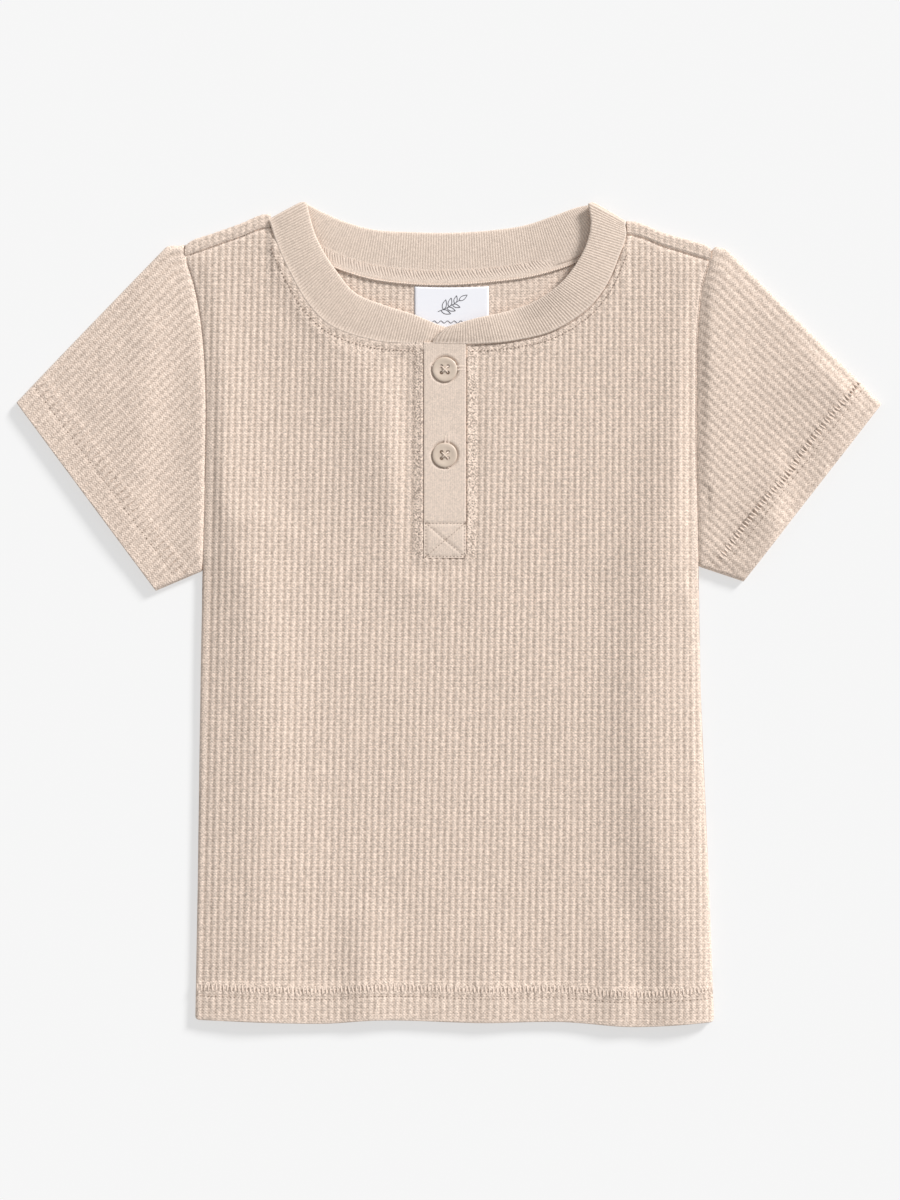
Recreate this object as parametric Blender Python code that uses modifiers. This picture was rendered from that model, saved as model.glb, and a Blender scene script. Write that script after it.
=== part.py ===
"""A toddler's short-sleeved waffle-knit henley, laid flat on its back.

Metres, +Z up. The garment lies on Z = 0 with its neck towards +Y and its hem towards -Y; +X is the
wearer's left. The origin is under the middle of its box. Sizes are written in millimetres and turned
into metres by `mm`.
"""
import math
from collections import namedtuple

import bmesh
import bpy
from mathutils import Vector

# ---- driving sizes, in millimetres ---------------------------------------------------------------

SEAM_GAP = 0.3             # between two pieces that are sewn together
CURVE_GAP = 0.5            # the same along a curved seam, whose two edges are cut into unlike steps
WALL = 1.5                 # the waffle knit, ridge to plain inside
GROOVE_WALL = 1.1          # the same between two ridges
BACK_TOP = WALL            # the back lies on the floor
FRONT_INSIDE = BACK_TOP + SEAM_GAP
FRONT_TOP = FRONT_INSIDE + WALL
RIB_PITCH = 2.97           # ridge to ridge across the body
SLEEVE_RIB_PITCH = 3.27
HEM_DEPTH = 13.0           # turned up at the bottom
HEM_STEP = 0.35            # how much the turned-up cloth lifts the outside
HEM_Y = -184.0             # the bottom edge, on the whole
SHOULDER_Y = 167.0         # the armhole seams' upper ends, on the whole
EDGE_SHARE = 0.55          # the front's wall thins to this at its side seams
EDGE_REACH = 3.0           # over this distance

BAND_WALL = 1.5            # the neckband, two layers of fine-wale knit
BAND_FRONT_Z = 3.9         # middle of the band's wall on the front
BAND_BACK_Z = BAND_WALL / 2 + 0.02
BAND_LAP_RISE = 1.8        # the wearer's left end lies on the other
BAND_LAP_X = 34.0          # and starts to climb here
BAND_LAP_RUN = 18.0
BAND_TURN_INSET = 0.15     # the fold at a shoulder stays this share of its radius behind the crease

TAPE_WALL = 1.0
TAPE_DEPTH = 8.0
TAPE_ABOVE_SEAM = 0.65     # share of its depth
LABEL_WALL = 0.6
LABEL_WIDTH = 33.5
LABEL_DEPTH = 25.0
LABEL_X = 1.2
LABEL_TOP_CURVE = 0.0016   # its upper edge follows the neckline: rise per x squared

PLACKET_X = -1.9           # middle of the strip
PLACKET_WIDTH = 19.1
PLACKET_TOP = 120.2
PLACKET_FOOT = 25.0
PLACKET_WALL = 1.2
SLIT_FOOT = 42.0           # the opening ends here, at the top of the stitched box
SLIT_MARGIN = 0.9          # how far the strip covers the panel beside the slit
STRIP_EDGE = 0.4           # the strips' softened edges
CUTTER_REACH = 20.0        # how far the slit's cutter goes past the cloth

BUTTON_DIAMETER = 11.5
BUTTON_HEIGHT = 2.4
BUTTON_HOLE = 1.4
BUTTON_HOLE_OFFSET = 1.43
BUTTONS = {"button_upper": 109.7, "button_lower": 71.2}

# ---- outlines: short tables in millimetres, a row for each section ---------------------------------

Side = namedtuple("Side", "y left right")
SIDES = [                  # side seams up to y = 20, then the armhole seams up to the shoulder fold
    Side(-186.0, -114.3, 119.4),
    Side(-129.0, -113.3, 117.4),
    Side(-75.0, -112.4, 114.9),
    Side(-30.0, -111.9, 113.2),
    Side(20.0, -110.9, 112.4),
    Side(60.0, -109.9, 111.6),
    Side(100.0, -109.5, 111.4),
    Side(128.0, -111.3, 112.0),
    Side(147.0, -114.6, 113.9),
    Side(158.0, -117.9, 116.9),
    Side(SHOULDER_Y, -119.4, 118.5),
]

Hem = namedtuple("Hem", "x y")
HEM = [                    # the bottom edge waves a little
    Hem(-115.0, -182.8),
    Hem(-58.0, -184.6),
    Hem(-31.0, -183.0),
    Hem(14.0, -184.2),
    Hem(50.0, -183.8),
    Hem(84.0, -186.0),
    Hem(120.0, -183.8),
]

Shoulder = namedtuple("Shoulder", "x seam fold")
NECK_CORNER_X = 82.0
SHOULDERS = [              # the seam lies on the front, a finger's width below the fold
    Shoulder(-119.0, 160.6, 167.4),
    Shoulder(-107.5, 164.6, 171.0),
    Shoulder(-94.5, 169.1, 175.5),
    Shoulder(-NECK_CORNER_X, 173.3, 180.0),
    Shoulder(NECK_CORNER_X, 170.0, 176.8),
    Shoulder(96.8, 165.0, 171.6),
    Shoulder(119.0, 158.2, 165.4),
]

Section = namedtuple("Section", "seam_x seam_y edge_x edge_y")
CREASE_RIGHT = Section(-80.6, 175.6, -63.9, 184.6)      # where the band folds over at each shoulder
CREASE_LEFT = Section(79.2, 175.2, 62.4, 183.9)
BAND_FRONT_RIGHT = [       # wearer's right, from the crease to the end under the placket
    CREASE_RIGHT,
    Section(-77.2, 165.4, -61.0, 173.2),
    Section(-72.6, 155.0, -56.9, 163.8),
    Section(-63.9, 139.7, -50.4, 153.9),
    Section(-52.7, 128.9, -42.0, 144.2),
    Section(-34.2, 122.6, -28.6, 138.6),
    Section(-19.0, 121.2, -15.9, 134.6),
    Section(-8.0, 120.9, -5.2, 130.2),
    Section(6.0, 120.9, 4.5, 127.6),
]
BAND_FRONT_LEFT = [        # wearer's left, from the end on top of the placket to the crease
    Section(-7.4, 121.3, -0.3, 129.2),
    Section(3.2, 120.9, 4.4, 130.6),
    Section(15.0, 121.2, 13.0, 133.0),
    Section(28.5, 122.5, 23.8, 135.4),
    Section(46.2, 126.8, 37.4, 139.8),
    Section(61.6, 136.4, 48.0, 146.6),
    Section(71.0, 148.1, 55.8, 155.2),
    Section(76.6, 161.0, 61.5, 165.6),
    Section(79.6, 169.8, 63.6, 175.2),
    CREASE_LEFT,
]
BAND_BACK = [              # behind the neck, from the wearer's right crease to the left one
    CREASE_RIGHT,
    Section(-69.6, 167.6, -56.9, 181.0),
    Section(-55.4, 159.2, -46.8, 176.6),
    Section(-37.0, 152.7, -33.4, 173.0),
    Section(-18.0, 150.0, -16.6, 171.9),
    Section(0.0, 149.6, 0.0, 171.6),
    Section(18.0, 150.8, 16.6, 172.5),
    Section(37.0, 153.4, 33.4, 174.8),
    Section(55.4, 159.0, 46.6, 179.0),
    Section(69.0, 167.0, 56.6, 182.6),
    CREASE_LEFT,
]

Sleeve = namedtuple("Sleeve", "side fold_top cuff_top cuff_foot underarm bulge")
SLEEVES = {                # side: -1 at -X; bulge: the fold's swell near the shoulder
    "sleeve_wearer_right": Sleeve(
        -1, (-119.6, 166.0), (-194.8, 95.0), (-132.0, 10.2), (-111.4, 19.0), 5.0
    ),
    "sleeve_wearer_left": Sleeve(
        1, (119.6, 164.9), (194.8, 94.4), (132.6, 14.4), (112.9, 21.0), 3.4
    ),
}
SLEEVE_LENGTH = 80.0       # armhole to cuff, on the whole
SLEEVE_NARROWING = 0.3     # the share of the width that the underarm edge takes its narrowing from

ButtonRing = namedtuple("ButtonRing", "out up")
BUTTON_PROFILE = [         # shares of the radius and the height, from the top's middle outwards and under
    ButtonRing(0.0, 0.62),
    ButtonRing(0.55, 0.62),
    ButtonRing(0.66, 0.78),
    ButtonRing(0.76, 0.98),
    ButtonRing(0.88, 1.0),
    ButtonRing(0.97, 0.8),
    ButtonRing(1.0, 0.5),
    ButtonRing(0.9, 0.12),
    ButtonRing(0.7, 0.0),
    ButtonRing(0.0, 0.0),
]

# ---- folds: how far the cloth stands up, in millimetres ------------------------------------------

Ridge = namedtuple("Ridge", "y x height reach")
SOFT_RIDGES = [            # two long soft ridges, beside the side seams, from the shoulder to the hem
    [
        Ridge(150.0, -107.0, 0.2, 6.0),
        Ridge(115.0, -103.0, 0.8, 8.0),
        Ridge(65.0, -95.0, 1.3, 10.0),
        Ridge(20.0, -83.0, 1.5, 12.0),
        Ridge(-20.0, -76.0, 1.4, 13.0),
        Ridge(-106.0, -71.0, 1.1, 13.0),
        Ridge(-184.0, -70.0, 0.8, 11.0),
    ],
    [
        Ridge(150.0, 108.0, 0.2, 6.0),
        Ridge(115.0, 103.0, 0.6, 7.0),
        Ridge(50.0, 97.0, 1.2, 10.0),
        Ridge(6.0, 91.0, 1.6, 11.0),
        Ridge(-40.0, 89.0, 1.6, 11.0),
        Ridge(-85.0, 91.0, 1.4, 11.0),
        Ridge(-120.0, 97.0, 1.3, 11.0),
        Ridge(-184.0, 96.0, 1.0, 11.0),
    ],
]

Fold = namedtuple("Fold", "x1 y1 x2 y2 height reach")
FRONT_FOLDS = [            # short ones: hem waves, then the pulls from the neck and the underarms
    Fold(-28.0, -150.0, -27.0, -190.0, 0.8, 8.0),
    Fold(20.0, -155.0, 18.0, -190.0, 0.6, 8.0),
    Fold(54.0, -160.0, 56.0, -190.0, 0.6, 7.0),
    Fold(-60.0, 118.0, -34.0, 62.0, 0.7, 8.0),
    Fold(60.0, 112.0, 44.0, 40.0, 0.6, 8.0),
    Fold(-103.0, 30.0, -66.0, 46.0, 0.8, 7.0),
    Fold(104.0, 26.0, 74.0, 50.0, 0.8, 7.0),
]
SLEEVE_FOLDS = [           # both sleeves: lengths along and across the sleeve from the shoulder point
    Fold(34.0, 8.0, 56.0, 60.0, 1.0, 10.0),
    Fold(86.0, 14.0, 92.0, 84.0, 0.8, 10.0),
    Fold(74.0, 96.0, 98.0, 70.0, 0.9, 8.0),
]
FRONT_LOFT = 0.5           # the front's own lift away from its seams
SLEEVE_LOFT = 0.3
SETTLE = 9.0               # folds die away over this distance from a seam


def mm(x, y, z):
    """A point given in millimetres, in metres."""
    return Vector((x, y, z)) * 0.001


def smooth(value):
    """0 to 1 with a soft start and end."""
    value = min(1.0, max(0.0, value))
    return value * value * (3.0 - 2.0 * value)


def blend(a, b, share):
    return a + (b - a) * share


def read_table(rows, key, name, at):
    """The column `name` of a table at `at` in its column `key`, on a smooth curve through the rows."""
    keys = [getattr(row, key) for row in rows]
    values = [getattr(row, name) for row in rows]
    at = min(keys[-1], max(keys[0], at)) if keys[0] < keys[-1] else max(keys[-1], min(keys[0], at))
    forward = keys[0] < keys[-1]
    i = next(k for k in range(len(keys) - 1) if k == len(keys) - 2 or (at <= keys[k + 1]) == forward)
    before, after = max(0, i - 1), min(len(keys) - 1, i + 2)
    step = keys[i + 1] - keys[i]
    slope_in = (values[i + 1] - values[before]) / (keys[i + 1] - keys[before])
    slope_out = (values[after] - values[i]) / (keys[after] - keys[i])
    s = (at - keys[i]) / step
    return (
        (2 * s**3 - 3 * s**2 + 1) * values[i]
        + (s**3 - 2 * s**2 + s) * step * slope_in
        + (-2 * s**3 + 3 * s**2) * values[i + 1]
        + (s**3 - s**2) * step * slope_out
    )


def between(first, last, count):
    """`count` steps from first to last, both included."""
    return [blend(first, last, i / count) for i in range(count + 1)]


BODY_RISES = [             # the body's rows, as shares of the way from hem to top, closer at the armhole
    0.0,
    *between(0.1, 0.8, 8),
    *between(0.84, 1.0, 4),
]


# ---- the shapes shared by the panels -------------------------------------------------------------


def side_x(y, share):
    """Across the body at height y: 0 at the seam at -X, 1 at the seam at +X."""
    left = read_table(SIDES, "y", "left", y)
    right = read_table(SIDES, "y", "right", y)
    return blend(left, right, share)


Point = namedtuple("Point", "x y")


def seam_curve(sections):
    return sorted((Point(s.seam_x, s.seam_y) for s in sections), key=lambda p: p.x)


FRONT_NECK = seam_curve([*BAND_FRONT_RIGHT[1:-1], *BAND_FRONT_LEFT[1:-1]])
BACK_NECK = seam_curve(BAND_BACK)
NECK_RIGHT_X = CREASE_RIGHT.seam_x - 1.4      # where the shoulder seams meet the band
NECK_LEFT_X = CREASE_LEFT.seam_x + 2.0


def below_neck(curve, x):
    """The height of a neckline at x, less the seam's gap measured square to the curve."""
    slope = read_table(curve, "x", "y", x + 0.5) - read_table(curve, "x", "y", x - 0.5)
    return read_table(curve, "x", "y", x) - CURVE_GAP * math.hypot(1.0, slope)


def front_top(x):
    """The front's upper edge: shoulder seam, neckline, shoulder seam."""
    at = math.copysign(max(abs(x), NECK_CORNER_X), x)
    shoulder = read_table(SHOULDERS, "x", "seam", at) - SEAM_GAP / 2
    return min(below_neck(FRONT_NECK, x), shoulder) if NECK_RIGHT_X < x < NECK_LEFT_X else shoulder


def column_end(share, edge):
    """The height at which a column of the body meets an edge given as a function of x."""
    y = SHOULDER_Y
    for _ in range(6):
        y = edge(side_x(y, share))
    return y


def fold_height(folds, x, y):
    """The lift that a list of folds gives at a point."""
    lift = 0.0
    for fold in folds:
        start = Vector((fold.x1, fold.y1))
        run = Vector((fold.x2, fold.y2)) - start
        share = min(1.0, max(0.0, (Vector((x, y)) - start).dot(run) / run.length_squared))
        away = (Vector((x, y)) - start - run * share).length
        towards_ends = 1.0 - 0.5 * abs(2.0 * share - 1.0)
        lift += fold.height * towards_ends * math.exp(-((away / fold.reach) ** 2))
    return lift


def front_lift(x, y):
    """How far the front stands off its seams' level at a point."""
    lift = fold_height(FRONT_FOLDS, x, y) + FRONT_LOFT
    for ridge in SOFT_RIDGES:
        rows = ridge[::-1]
        middle = read_table(rows, "y", "x", y)
        reach = read_table(rows, "y", "reach", y)
        lift += read_table(rows, "y", "height", y) * math.exp(-(((x - middle) / reach) ** 2))
    from_side = min(x - side_x(y, 0.0), side_x(y, 1.0) - x)
    from_top = front_top(x) - y
    beside_placket = max(0.0, abs(x - PLACKET_X) - PLACKET_WIDTH / 2)
    from_placket = math.hypot(beside_placket, max(0.0, PLACKET_FOOT - y))
    settled = smooth(from_side / SETTLE) * smooth(from_top / SETTLE) * smooth(from_placket / SETTLE)
    return lift * settled


# ---- mesh helpers --------------------------------------------------------------------------------


def finish(name, bm, colour, roughness):
    """The bmesh as a named object with its own material."""
    bmesh.ops.recalc_face_normals(bm, faces=bm.faces)
    mesh = bpy.data.meshes.new(name)
    bm.to_mesh(mesh)
    bm.free()
    obj = bpy.data.objects.new(name, mesh)
    garment.objects.link(obj)
    material = bpy.data.materials.new(name)
    material.use_nodes = True
    shader = material.node_tree.nodes["Principled BSDF"]
    shader.inputs["Base Color"].default_value = (*colour, 1.0)
    shader.inputs["Roughness"].default_value = roughness
    mesh.materials.append(material)
    mesh.shade_smooth()
    mesh.set_sharp_from_angle(angle=math.radians(40))
    return obj


def grid_of_points(columns, rows, place, leave_out=None):
    """A grid whose point (column, row) goes to place(column, row), without the faces in leave_out."""
    bm = bmesh.new()
    bmesh.ops.create_grid(bm, x_segments=columns, y_segments=rows, size=0.5)
    for vert in bm.verts:
        column = round((vert.co.x + 0.5) * columns)
        row = round((vert.co.y + 0.5) * rows)
        vert.co = Vector((column, row, 0.0))
    if leave_out:
        centres = {face: face.calc_center_median() for face in bm.faces}
        gone = [face for face, at in centres.items() if leave_out(int(at.x), int(at.y))]
        bmesh.ops.delete(bm, geom=gone, context="FACES")
    for vert in bm.verts:
        vert.co = place(round(vert.co.x), round(vert.co.y))
    return bm


def thicken(obj, wall):
    """Gives an open sheet its wall, half on each side."""
    modifier = obj.modifiers.new("wall", "SOLIDIFY")
    modifier.thickness = wall * 0.001
    modifier.offset = 0.0
    modifier.use_even_offset = True


def hide_cutter(obj):
    for collection in list(obj.users_collection):
        collection.objects.unlink(obj)
    cutters.objects.link(obj)
    obj.hide_render = True
    obj.display_type = "WIRE"


def cut_away(obj, cutter):
    hide_cutter(cutter)
    cut = obj.modifiers.new(cutter.name, "BOOLEAN")
    cut.object = cutter
    cut.operation = "DIFFERENCE"


def zip_edges(bm, one, other, one_at, other_at, closed):
    """Triangles between two runs of points with unequal counts, matched by their places (0 to 1)."""
    i = j = 0
    last_i = len(one) - (0 if closed else 1)
    last_j = len(other) - (0 if closed else 1)
    reach_one = [*one_at, 1.0 + one_at[0]]
    reach_other = [*other_at, 1.0 + other_at[0]]
    while i < last_i or j < last_j:
        step_one = j == last_j or (i < last_i and reach_one[i + 1] <= reach_other[j + 1])
        a, b = one[i % len(one)], other[j % len(other)]
        if step_one:
            i += 1
            bm.faces.new((a, b, one[i % len(one)]))
        else:
            j += 1
            bm.faces.new((a, b, other[j % len(other)]))


def loft(bm, rings, closed):
    """Quads between rings of equal count; gives back the rings' vertices."""
    made = [[bm.verts.new(point) for point in ring] for ring in rings]
    for ring, after in zip(made, made[1:]):
        count = len(ring) if closed else len(ring) - 1
        for k in range(count):
            m = (k + 1) % len(ring)
            bm.faces.new((ring[k], ring[m], after[m], after[k]))
    return made


def ribbed_wall(outer, inner, outer_at, inner_at, closed):
    """A wall between an outer skin with fine ribs and a plain inner one, by rows; closed for a tube."""
    bm = bmesh.new()
    outside = loft(bm, outer, closed)
    inside = loft(bm, inner, closed)
    for end in (0, -1):
        zip_edges(bm, outside[end], inside[end], outer_at, inner_at, closed)
    if not closed:
        for side in (0, -1):
            for k, m in zip(range(len(outside) - 1), range(1, len(outside))):
                bm.faces.new((outside[k][side], outside[m][side], inside[m][side], inside[k][side]))
    return bm


# ---- back ----------------------------------------------------------------------------------------


def make_back_panel(colour):
    """The back: flat on the floor, folded over at each shoulder and brought forward to its seam."""
    shoulder_columns, neck_columns, fold_rows, wrap_rows = 6, 26, 6, 2
    columns = 2 * shoulder_columns + neck_columns
    body_rows = len(BODY_RISES) - 1
    lower_z = BACK_TOP - WALL / 2
    upper_z = FRONT_TOP - WALL / 2
    radius = (upper_z - lower_z) / 2
    first_x = side_x(SHOULDER_Y, 0.0)
    width = side_x(SHOULDER_Y, 1.0) - first_x
    at_right = (NECK_RIGHT_X - first_x) / width
    at_left = (NECK_LEFT_X - first_x) / width
    step_in = 0.5 / width      # the neckline's first column, close beside the shoulder's last
    shares = [
        *between(0.0, at_right, shoulder_columns),
        *between(at_right + step_in, at_left - step_in, neck_columns - 2),
        *between(at_left, 1.0, shoulder_columns),
    ]

    def at_neck(column):
        return shoulder_columns < column < columns - shoulder_columns

    def place(column, row):
        share = shares[column]
        bottom = read_table(HEM, "x", "y", side_x(HEM_Y, share))
        if at_neck(column):
            top = column_end(share, lambda x: below_neck(BACK_NECK, x))
            y = blend(bottom, top, BODY_RISES[min(row, body_rows)])
            return mm(side_x(y, share), y, lower_z)
        seam = column_end(share, lambda x: read_table(SHOULDERS, "x", "seam", x))
        fold = column_end(share, lambda x: read_table(SHOULDERS, "x", "fold", x))
        fold -= radius + WALL / 2
        if row <= body_rows:
            y = blend(bottom, fold, BODY_RISES[row])
            return mm(side_x(y, share), y, lower_z)
        if row <= body_rows + fold_rows:
            turn = math.pi * (row - body_rows) / fold_rows
            y = fold + radius * math.sin(turn)
            return mm(side_x(fold, share), y, lower_z + radius * (1.0 - math.cos(turn)))
        y = blend(fold, seam + SEAM_GAP, (row - body_rows - fold_rows) / wrap_rows)
        return mm(side_x(y, share), y, upper_z)

    def leave_out(column, row):
        return row >= body_rows and shoulder_columns <= column < columns - shoulder_columns

    bm = grid_of_points(columns, body_rows + fold_rows + wrap_rows, place, leave_out)
    thicken(finish("back_panel", bm, colour, 0.95), WALL)


# ---- front ---------------------------------------------------------------------------------------


def front_point(share, rise):
    """A point of the front in plan: share across, rise from the hem (0) to the upper edge (1)."""
    bottom = read_table(HEM, "x", "y", side_x(HEM_Y, share))
    y = blend(bottom, column_end(share, front_top), rise)
    return side_x(y, share), y


def make_front_panel(colour):
    """The front: vertical ridges outside, plain inside, with its soft folds, hem and placket slit."""
    ribs = round((side_x(0.0, 1.0) - side_x(0.0, 0.0)) / RIB_PITCH)
    outer_shares = between(0.0, 1.0, 2 * ribs)
    inner_shares = between(0.0, 1.0, 32)
    hem_rise = HEM_DEPTH / (PLACKET_TOP - HEM_Y)
    rises = [0.0, hem_rise * 0.9, hem_rise * 1.1, *BODY_RISES[1:]]

    def outer(index, rise):
        x, y = front_point(outer_shares[index], rise)
        wall = WALL if index % 2 else GROOVE_WALL
        step = HEM_STEP if rise < hem_rise else 0.0
        from_side = min(x - side_x(y, 0.0), side_x(y, 1.0) - x)
        wall *= blend(EDGE_SHARE, 1.0, smooth(from_side / EDGE_REACH))
        return mm(x, y, FRONT_INSIDE + front_lift(x, y) + wall + step)

    def inner(share, rise):
        x, y = front_point(share, rise)
        return mm(x, y, FRONT_INSIDE + front_lift(x, y))

    skin = [[outer(k, rise) for k in range(len(outer_shares))] for rise in rises]
    lining = [[inner(share, rise) for share in inner_shares] for rise in rises]
    bm = ribbed_wall(skin, lining, outer_shares, inner_shares, closed=False)
    panel = finish("front_panel", bm, colour, 0.95)
    bpy.ops.mesh.primitive_cube_add(size=1.0)
    slit = bpy.context.object
    slit.name = "placket_slit"
    slit_top = PLACKET_TOP + CUTTER_REACH
    slit.scale = mm(PLACKET_WIDTH - 2 * SLIT_MARGIN, slit_top - SLIT_FOOT, CUTTER_REACH)
    slit.location = mm(PLACKET_X, (SLIT_FOOT + slit_top) / 2, FRONT_INSIDE)
    cut_away(panel, slit)


# ---- sleeves -------------------------------------------------------------------------------------


class SleeveFrame:
    """Lengths along the sleeve from the shoulder point (p) and across it from the fold (q)."""

    def __init__(self, sleeve):
        self.origin = Vector(sleeve.fold_top)
        self.along = (Vector(sleeve.cuff_top) - self.origin).normalized()
        self.across = Vector((-self.along.y, self.along.x)) * sleeve.side * -1.0
        self.bulge = sleeve.bulge
        self.cuff_top = self.measure(Vector(sleeve.cuff_top))
        self.cuff_foot = self.measure(Vector(sleeve.cuff_foot))
        self.underarm = self.measure(Vector(sleeve.underarm))
        column = "left" if sleeve.side < 0 else "right"
        heights = between(SHOULDER_Y, sleeve.underarm[1], 24)
        seam = [self.measure(Vector((read_table(SIDES, "y", column, y), y))) for y in heights]
        self.armhole = [Point(q, p + 1.5 * SEAM_GAP) for p, q in sorted(seam, key=lambda pq: pq[1])]

    def measure(self, point):
        away = point - self.origin
        return away.dot(self.along), away.dot(self.across)

    def place(self, share, run):
        """x, y, p, q; share: 0 fold to 1 underarm edge; run: 0 armhole to 1 cuff."""
        full = self.underarm[1]
        edge = blend(full, self.cuff_foot[1], run)
        q = share * full - (full - edge) * smooth(1.0 - (1.0 - share) / SLEEVE_NARROWING)
        start = read_table(self.armhole, "x", "y", q)
        end = blend(self.cuff_top[0], self.cuff_foot[0], q / self.cuff_foot[1])
        swell = smooth(run / 0.07) * (1.0 - run) ** 0.9
        q -= self.bulge * swell * (1.0 - share) ** 6
        p = blend(start, end, run)
        flat = self.origin + self.along * p + self.across * q
        return flat.x, flat.y, p, q


def make_sleeve(name, sleeve, colour):
    """A flattened tube, open at armhole and cuff: ridges on the upper side, plain inside and below."""
    frame = SleeveFrame(sleeve)
    width = frame.underarm[1]
    ribs = round(width / SLEEVE_RIB_PITCH)
    runs = [0.0, 0.06, 0.14, 0.3, 0.45, 0.6, 0.75, 0.88, 0.9, 1.0]   # the last two bound the hem
    half = FRONT_TOP / 2
    turn = half / width      # the rounded edge's depth, as a share of the width
    quarter = [math.pi * k / 8 for k in range(4)]
    round_edge = [(1.0 - math.cos(a), math.sin(a)) for a in quarter]   # shares of that depth and of half

    def lift(share, run):
        _, _, p, q = frame.place(share, run)
        from_edge = min(share, 1.0 - share) * width
        settled = smooth(from_edge / SETTLE) * smooth(run * SLEEVE_LENGTH / SETTLE)
        return (fold_height(SLEEVE_FOLDS, p, q) + SLEEVE_LOFT) * settled

    def upper(share, run, ridge):
        wall = WALL if ridge else GROOVE_WALL
        step = HEM_STEP if run >= runs[-2] else 0.0
        return FRONT_INSIDE + wall + step + lift(share, run)

    def point(share, run, z):
        x, y, _, _ = frame.place(share, run)
        return mm(x, y, z)

    def outer_ring(run):
        ring = [point(turn * d, run, half + (half - 0.2) * z) for d, z in round_edge]
        ring += [point(s, run, upper(s, run, k % 2 == 0)) for k, s in enumerate(rib_shares)]
        ring += [point(1.0 - turn * d, run, half + (half - 0.2) * z) for d, z in reversed(round_edge)]
        ring += [point(1.0 - turn * d, run, half - half * z) for d, z in round_edge[1:]]
        ring += [point(s, run, 0.0) for s in under_shares]
        ring += [point(turn * d, run, half - half * z) for d, z in reversed(round_edge[1:])]
        return ring

    def inner_ring(run):
        inset = WALL / width
        shares = between(inset, 1.0 - inset, 14)
        ring = [point(s, run, FRONT_INSIDE + lift(s, run)) for s in shares]
        ring += [point(s, run, BACK_TOP) for s in reversed(shares)]
        return ring

    rib_shares = between(turn, 1.0 - turn, 2 * ribs - 2)
    under_shares = between(1.0 - turn, turn, 10)
    outer_at = ring_places([turn * d for d, _ in round_edge], rib_shares, under_shares, turn, round_edge)
    inner_shares = between(WALL / width, 1.0 - WALL / width, 14)
    inner_at = [s / 2 for s in inner_shares] + [1.0 - s / 2 for s in reversed(inner_shares)]
    skin = [outer_ring(run) for run in runs]
    lining = [inner_ring(run) for run in runs]
    bm = ribbed_wall(skin, lining, outer_at, inner_at, closed=True)
    finish(name, bm, colour, 0.95)


def ring_places(edge, rib_shares, under_shares, turn, round_edge):
    """Where each point of a sleeve's outer ring lies round it, 0 to 1, starting on the fold."""
    places = [s / 2 for s in edge]
    places += [s / 2 for s in rib_shares]
    places += [(1.0 - s) / 2 for s in reversed(edge)]
    places += [1.0 - (1.0 - turn * d) / 2 for d, _ in round_edge[1:]]
    places += [1.0 - s / 2 for s in under_shares]
    places += [1.0 - turn * d / 2 for d, _ in reversed(round_edge[1:])]
    return places


# ---- neck ----------------------------------------------------------------------------------------


def along_sections(sections, count):
    """Sections read on smooth curves through a table, `count` steps in all."""
    Numbered = namedtuple("Numbered", ("at", *Section._fields))
    rows = [Numbered(i, *section) for i, section in enumerate(sections)]
    places = between(0.0, len(rows) - 1.0, count)
    return [Section(*(read_table(rows, "at", f, at) for f in Section._fields)) for at in places]


def across_band(section, z, columns, shift=(0.0, 0.0)):
    """One row of the band's middle, seam to edge."""
    seam = Vector((section.seam_x, section.seam_y)) + Vector(shift)
    edge = Vector((section.edge_x, section.edge_y)) + Vector(shift)
    return [mm(*seam.lerp(edge, s), z) for s in between(0.0, 1.0, columns)]


def make_neckband(colour):
    """One strip: from the end under the lap, round behind the neck, to the end on top of it."""
    columns, turn_steps = 3, 6
    radius = (BAND_FRONT_Z - BAND_BACK_Z) / 2
    middle_z = (BAND_FRONT_Z + BAND_BACK_Z) / 2

    def shoulder_turn(crease, outward, downward):
        run = Vector((crease.edge_x - crease.seam_x, crease.edge_y - crease.seam_y)).normalized()
        out = Vector((-run.y, run.x)) * outward
        rows = []
        for step in range(1, turn_steps):
            turn = math.pi * step / turn_steps
            up = math.cos(turn) * (1 if downward else -1)
            shift = out * (radius * (math.sin(turn) - BAND_TURN_INSET))
            rows.append(across_band(crease, middle_z + radius * up, columns, shift))
        return rows

    rows = []
    for section in reversed(along_sections(BAND_FRONT_RIGHT, 26)):
        rows.append(across_band(section, BAND_FRONT_Z, columns))
    rows += shoulder_turn(CREASE_RIGHT, 1.0, True)
    for section in along_sections(BAND_BACK, 34):
        rows.append(across_band(section, BAND_BACK_Z, columns))
    rows += shoulder_turn(CREASE_LEFT, -1.0, False)
    for section in reversed(along_sections(BAND_FRONT_LEFT, 30)):
        middle_x = (section.seam_x + section.edge_x) / 2
        rise = BAND_LAP_RISE * smooth((BAND_LAP_X - middle_x) / BAND_LAP_RUN)
        rows.append(across_band(section, BAND_FRONT_Z + rise, columns))
    bm = grid_of_points(columns, len(rows) - 1, lambda column, row: rows[row][column])
    thicken(finish("neckband", bm, colour, 0.9), BAND_WALL)


def make_neck_tape(colour):
    """The narrow tape over the back neck seam, from one shoulder to the other."""
    sections = along_sections(BAND_BACK[1:-1], 28)
    z = BACK_TOP + SEAM_GAP + TAPE_WALL / 2

    def place(column, row):
        section = sections[row]
        up = Vector((section.edge_x - section.seam_x, section.edge_y - section.seam_y)).normalized()
        at = Vector((section.seam_x, section.seam_y)) + up * TAPE_DEPTH * (TAPE_ABOVE_SEAM - column / 2)
        return mm(at.x, at.y, z)

    thicken(finish("neck_tape", grid_of_points(2, 28, place), colour, 0.9), TAPE_WALL)


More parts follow.
